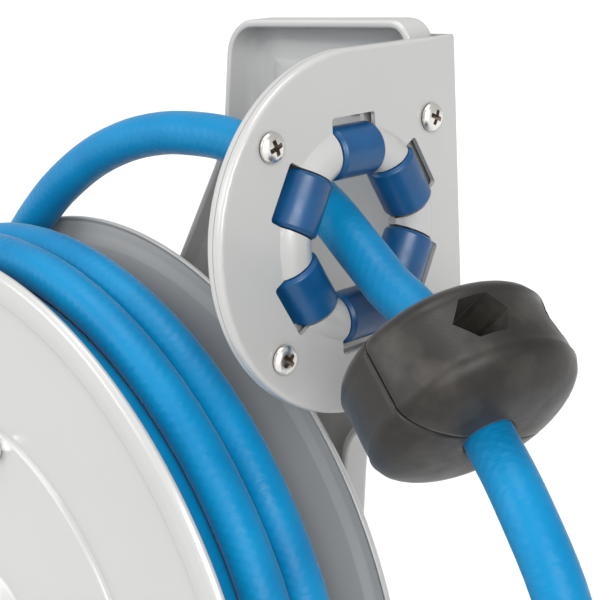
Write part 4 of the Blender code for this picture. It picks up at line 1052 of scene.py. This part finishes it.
def stop_half(name, side, rubber):
    """One rubber half, half a turn of the section, with its seam edges eased and its pockets cut."""
    profile = stop_profile()
    by_seam = [degrees(0.0002 / STOP_RADIUS), 0.8, 1.6]
    angles = np.radians([*by_seam, *np.linspace(4, 176, 60), *(180 - angle for angle in reversed(by_seam))])
    eased = {0: 0.0006, 1: 0.00018}  # how far the rows nearest the seam are drawn in
    bm = bmesh.new()
    rows = []
    for i, angle in enumerate(angles):
        row = []
        for radius, along in profile:
            pull = eased.get(min(i, len(angles) - 1 - i), 0.0) if radius > HOSE_RADIUS + 0.001 else 0.0
            pull *= min(1.0, (radius - HOSE_RADIUS) / 0.01)
            r = radius - pull
            place = (r * cos(angle), r * sin(angle), along - copysign(pull, along))
            row.append(bm.verts.new(place))
        rows.append(row)
    for first, second in zip(rows, rows[1:]):
        bridge(bm, first, second)
    bm.faces.new(rows[0])
    bm.faces.new(rows[-1])
    bm.transform(frame_on(STOP_CENTRE, STOP_AXIS, STOP_UP * side))
    half = piece(name, bm, rubber, "stand", smooth=42, weighted=False)
    for sign in (-1, 1):
        place = frame_on(stop_bolt_point(sign), STOP_UP * side)
        if side > 0:
            carve(half, hexagon(NUT_POCKET, NUT_POCKET_FLOOR, 0.045, stop_nut_place(sign)))
        else:
            carve(half, round_cutter(HEAD_POCKET_RADIUS, HEAD_POCKET_FLOOR, 0.045, 48, place))
        carve(half, round_cutter(STOP_BORE_RADIUS, -0.01, 0.05, 32, place))
    half.data.shade_smooth()
    half.data.set_sharp_from_angle(angle=radians(42))
    edges = half.modifiers.new("moulded edges", "BEVEL")
    edges.limit_method = "ANGLE"
    edges.angle_limit = radians(60)
    edges.width = 0.0004
    edges.segments = 2
    return half


def hose_stop(rubber, zinc):
    """Two rubber halves clamped round the hose by two bolts, their nuts in the upper half's pockets."""
    pieces = [stop_half("stop_half_upper", 1, rubber), stop_half("stop_half_lower", -1, rubber)]
    shape = [(0, -0.0195, 0), (0.0024, -0.0195, 0), (0.0055, -0.0182, 0.001), (0.0055, -0.0153, 0.0003),
             (0.0029, -0.0153, 0), (0.0029, 0.0158, 0.0005), (0, 0.0160, 0)]
    for i, sign in enumerate((-1, 1)):
        place = stop_nut_place(sign)
        nut = hexagon(NUT_ACROSS, NUT_LOW, NUT_HIGH, place, 0.0030)
        pieces.append(piece(f"stop_nut_{i + 1}", nut, zinc, "stand", smooth=30))
        screw = lathe(rounded(shape, 4, False), 40, False, place)
        pieces.append(piece(f"stop_bolt_{i + 1}", screw, zinc, "stand"))
    return pieces


# ------------------------ screws, axle end and fittings
FITTING_BORE = 0.0030
FERRULE_LENGTH = 0.0240
PAWL_ANGLE, PAWL_ORBIT = 112, 0.074  # the pawl's pin from the axle: degrees and distance


def thread(radius, first, last, pitch=0.0012):
    """Profile corners of a thread from one distance along its axis to another."""
    corners = []
    count = max(2, round(abs(last - first) / pitch))
    step = (last - first) / count
    for i in range(count):
        corners += [(radius, first + step * (i + 0.2), 0), (radius - 0.0006, first + step * (i + 0.7), 0)]
    return corners


def arm_bolts(zinc):
    """The foot's bolts, and the two that hold the front roller plate's flange on the arm."""
    for i, (x, y) in enumerate((x, y) for x in FOOT_BOLT_XS for y in FOOT_BOLT_YS):
        point = Vector((x, y, FOOT_BOLT_SEAT))
        bolt(f"foot_bolt_{i + 1}", point, Z_AXIS, LARGE_HEAD, FOOT_BOLT_LENGTH, zinc, "stand")
    for i, rise in enumerate(BRACKET_BOLT_RISES):
        point = Vector((BRACKET_BOLT_X, BRACKET_BOLT_SEAT, RING_CENTRE.z + rise))
        bolt(f"bracket_bolt_{i + 1}", point, Y_AXIS, MIDDLE_HEAD, BRACKET_BOLT_LENGTH, zinc, "stand")


def axle_parts(steel, zinc, brass):
    """Hollow axle with its collar and threaded end, its washer and nut, snap ring and inlet fitting."""
    near, end, bore, inner_end = -0.090, 0.060, 0.0045, 0.006
    collar, collar_low, collar_high = 0.016, 0.0355, ARM_INNER_Y - GAP
    groove = 0.0094
    rod = AXLE_RADIUS
    corners = [(0, inner_end, 0), (bore, inner_end, 0), (bore, end, 0.0004), (rod - 0.0008, end, 0.0004)]
    corners += thread(rod, end - 0.0005, ARM_OUTER_Y + 0.001)
    corners += [(rod, collar_high, 0.0003), (collar, collar_high, 0.0004), (collar, collar_low, 0.0004),
                (rod, collar_low, 0.0003), (rod, near + 0.0046, 0), (groove, near + 0.0045, 0),
                (groove, near + 0.0028, 0), (rod, near + 0.0027, 0), (rod, near + 0.001, 0.0004),
                (rod - 0.001, near, 0.0003), (0.0014, near, 0), (0, near + 0.0012, 0)]
    on_axle("axle", corners, steel, "stand", steps=96, closed=False, smooth=25)
    around = rod + GAP
    on_axle("axle_washer", washer(around, 0.0200, 0.0435, 0.0455, (0.0002, 0.0004), (0.0003, 0.0005)),
            zinc, "stand", steps=96)
    line = frame_on(AXLE_POINT, Y_AXIS)
    piece("axle_nut", hexagon(0.032, 0.0458, 0.0558, line, around), zinc, "stand", smooth=30)
    on_axle("retaining_ring", washer(around, 0.0145, near + 0.003, near + 0.0043, (0.0002, 0.0002),
                                     (0.0003, 0.0003)), steel, "stand", steps=96)
    flats = hexagon(0.024, end + GAP, end + 0.010, line, FITTING_BORE)
    nipple = [(FITTING_BORE, end + 0.0102, 0), (FITTING_BORE, 0.0898, 0.0004), (0.0058, 0.0900, 0.0004)]
    nipple += thread(0.0068, 0.0890, end + 0.0120, 0.0016) + [(0.0058, end + 0.0102, 0)]
    spigot = washer(FITTING_BORE, 0.0042, end + 0.0001, end - 0.012, (0, 0.0003), (0, 0.0004))
    rings = [lathe([(r, y) for r, y, _ in shape], 64, place=line) for shape in (nipple, spigot)]
    piece("inlet_fitting", merged(flats, *rings), brass, "stand", smooth=30)


def hose_end(brass):
    """Ferrule crimped round the hose in six bands, and its plug fitting, along the CAD nodes' line."""
    ferrule, fitting = (np.mean([frame["nodes"][name].matrix_world @ v.co
                                 for v in frame["nodes"][name].data.vertices], axis=0)
                        for name in ("end_ferrule", "end_fitting"))
    heading = Vector(fitting - ferrule).normalized()
    end = Vector(ferrule) - heading * (GAP + FERRULE_LENGTH) / 2
    wide, narrow = 0.0079, 0.0072
    profile = [(0, GAP, 0), (0.0074, GAP, 0.0003), (wide, 0.0012, 0.0004)]
    for band in range(6):
        low = 0.0030 + 0.0032 * band
        profile += [(wide, low, 0.0003), (narrow, low + 0.0007, 0.0003), (narrow, low + 0.0017, 0.0003),
                    (wide, low + 0.0024, 0.0003)]
    profile += [(wide, FERRULE_LENGTH, 0.0005), (0, FERRULE_LENGTH, 0)]
    crimped = turned("end_ferrule", profile, end, heading, brass, "stand", steps=64, closed=False)
    place = frame_on(end, heading, Z_AXIS)
    flats = hexagon(0.0142, FERRULE_LENGTH + GAP, 0.0325, place, FITTING_BORE)
    plug = [(FITTING_BORE, 0.0326, 0), (FITTING_BORE, 0.0478, 0.0002), (0.0050, 0.0480, 0.0006),
            (0.0056, 0.0450, 0.0010), (0.0056, 0.0425, 0.0004), (0.0043, 0.0415, 0.0004),
            (0.0043, 0.0390, 0.0004), (0.0064, 0.0375, 0.0006), (0.0064, 0.0326, 0)]
    nose = lathe(rounded(plug, 4), 64, place=place)
    return [crimped, piece("end_fitting", merged(flats, nose), brass, "stand", smooth=30)]


def pawl_parts(steel, zinc):
    """The pawl's pin with its riveted head, and the coil spring round it."""
    pivot = polar(PAWL_ANGLE, PAWL_ORBIT, 0)
    turned("pawl_pin", [(0, 0.0265, 0), (0.0036, 0.0265, 0.0003), (0.0040, 0.0270, 0.0003),
                        (0.0040, 0.0435, 0), (0.0070, 0.0435, 0.0003), (0.0070, 0.0448, 0.0010),
                        (0.0045, 0.0469, 0.0015), (0, 0.0472, 0)],
           pivot, Y_AXIS, zinc, "stand", steps=64, closed=False)
    radius, low, length, last = 0.0054, 0.0358, 0.0030, 5 * pi
    coil = [pivot + Vector((radius * cos(a), low + length * a / last, radius * sin(a)))
            for a in np.linspace(0, last, 120)]
    wire = tube(coil, 0.0007, sides=12)
    piece("pawl_spring", wire, steel, "stand", weighted=False)


# ------------------------ build
camera()
studio()
paint = grey_paint()
rubber = black_rubber()
plastic = blue_plastic()
nickel = metal("nickel_plate", (0.74, 0.72, 0.68), 0.24, 0.36)
zinc = metal("zinc_plate", (0.70, 0.69, 0.66), 0.22, 0.38)
steel = metal("plain_steel", (0.46, 0.45, 0.44), 0.28, 0.45)
brass = metal("brass", (0.78, 0.56, 0.24), 0.2, 0.36)
slack, slack_path, wound, wound_path = hoses()
drum(paint, zinc)
pedestal_arm(paint)
base_plate(paint)
ring_plates(paint)
rollers(plastic, steel)
# the dark brown metal made here is painted shade in the screws' cross recesses
pan_screws(nickel, metal("screw_recess_shade", (0.150, 0.115, 0.095), 0.55, 0.75))
stop_pieces = hose_stop(rubber, zinc)
arm_bolts(zinc)
axle_parts(steel, zinc, brass)
pawl_parts(steel, zinc)
end_pieces = hose_end(brass)
nodes = frame["nodes"]
slots = {"zinc_steel": zinc, "plain_steel": steel, "brass": brass, "black_rubber": rubber,
         "grey_paint": paint}
for subpart in frame["record"]["subparts"]:
    obj = nodes[subpart["node"]]
    if subpart["material_slot"] in slots and obj.data.materials:
        obj.data.materials[0] = slots[subpart["material_slot"]]

print(f"hose on the drum {length_of(wound_path):.2f} m, beyond it {length_of(slack_path):.2f} m")
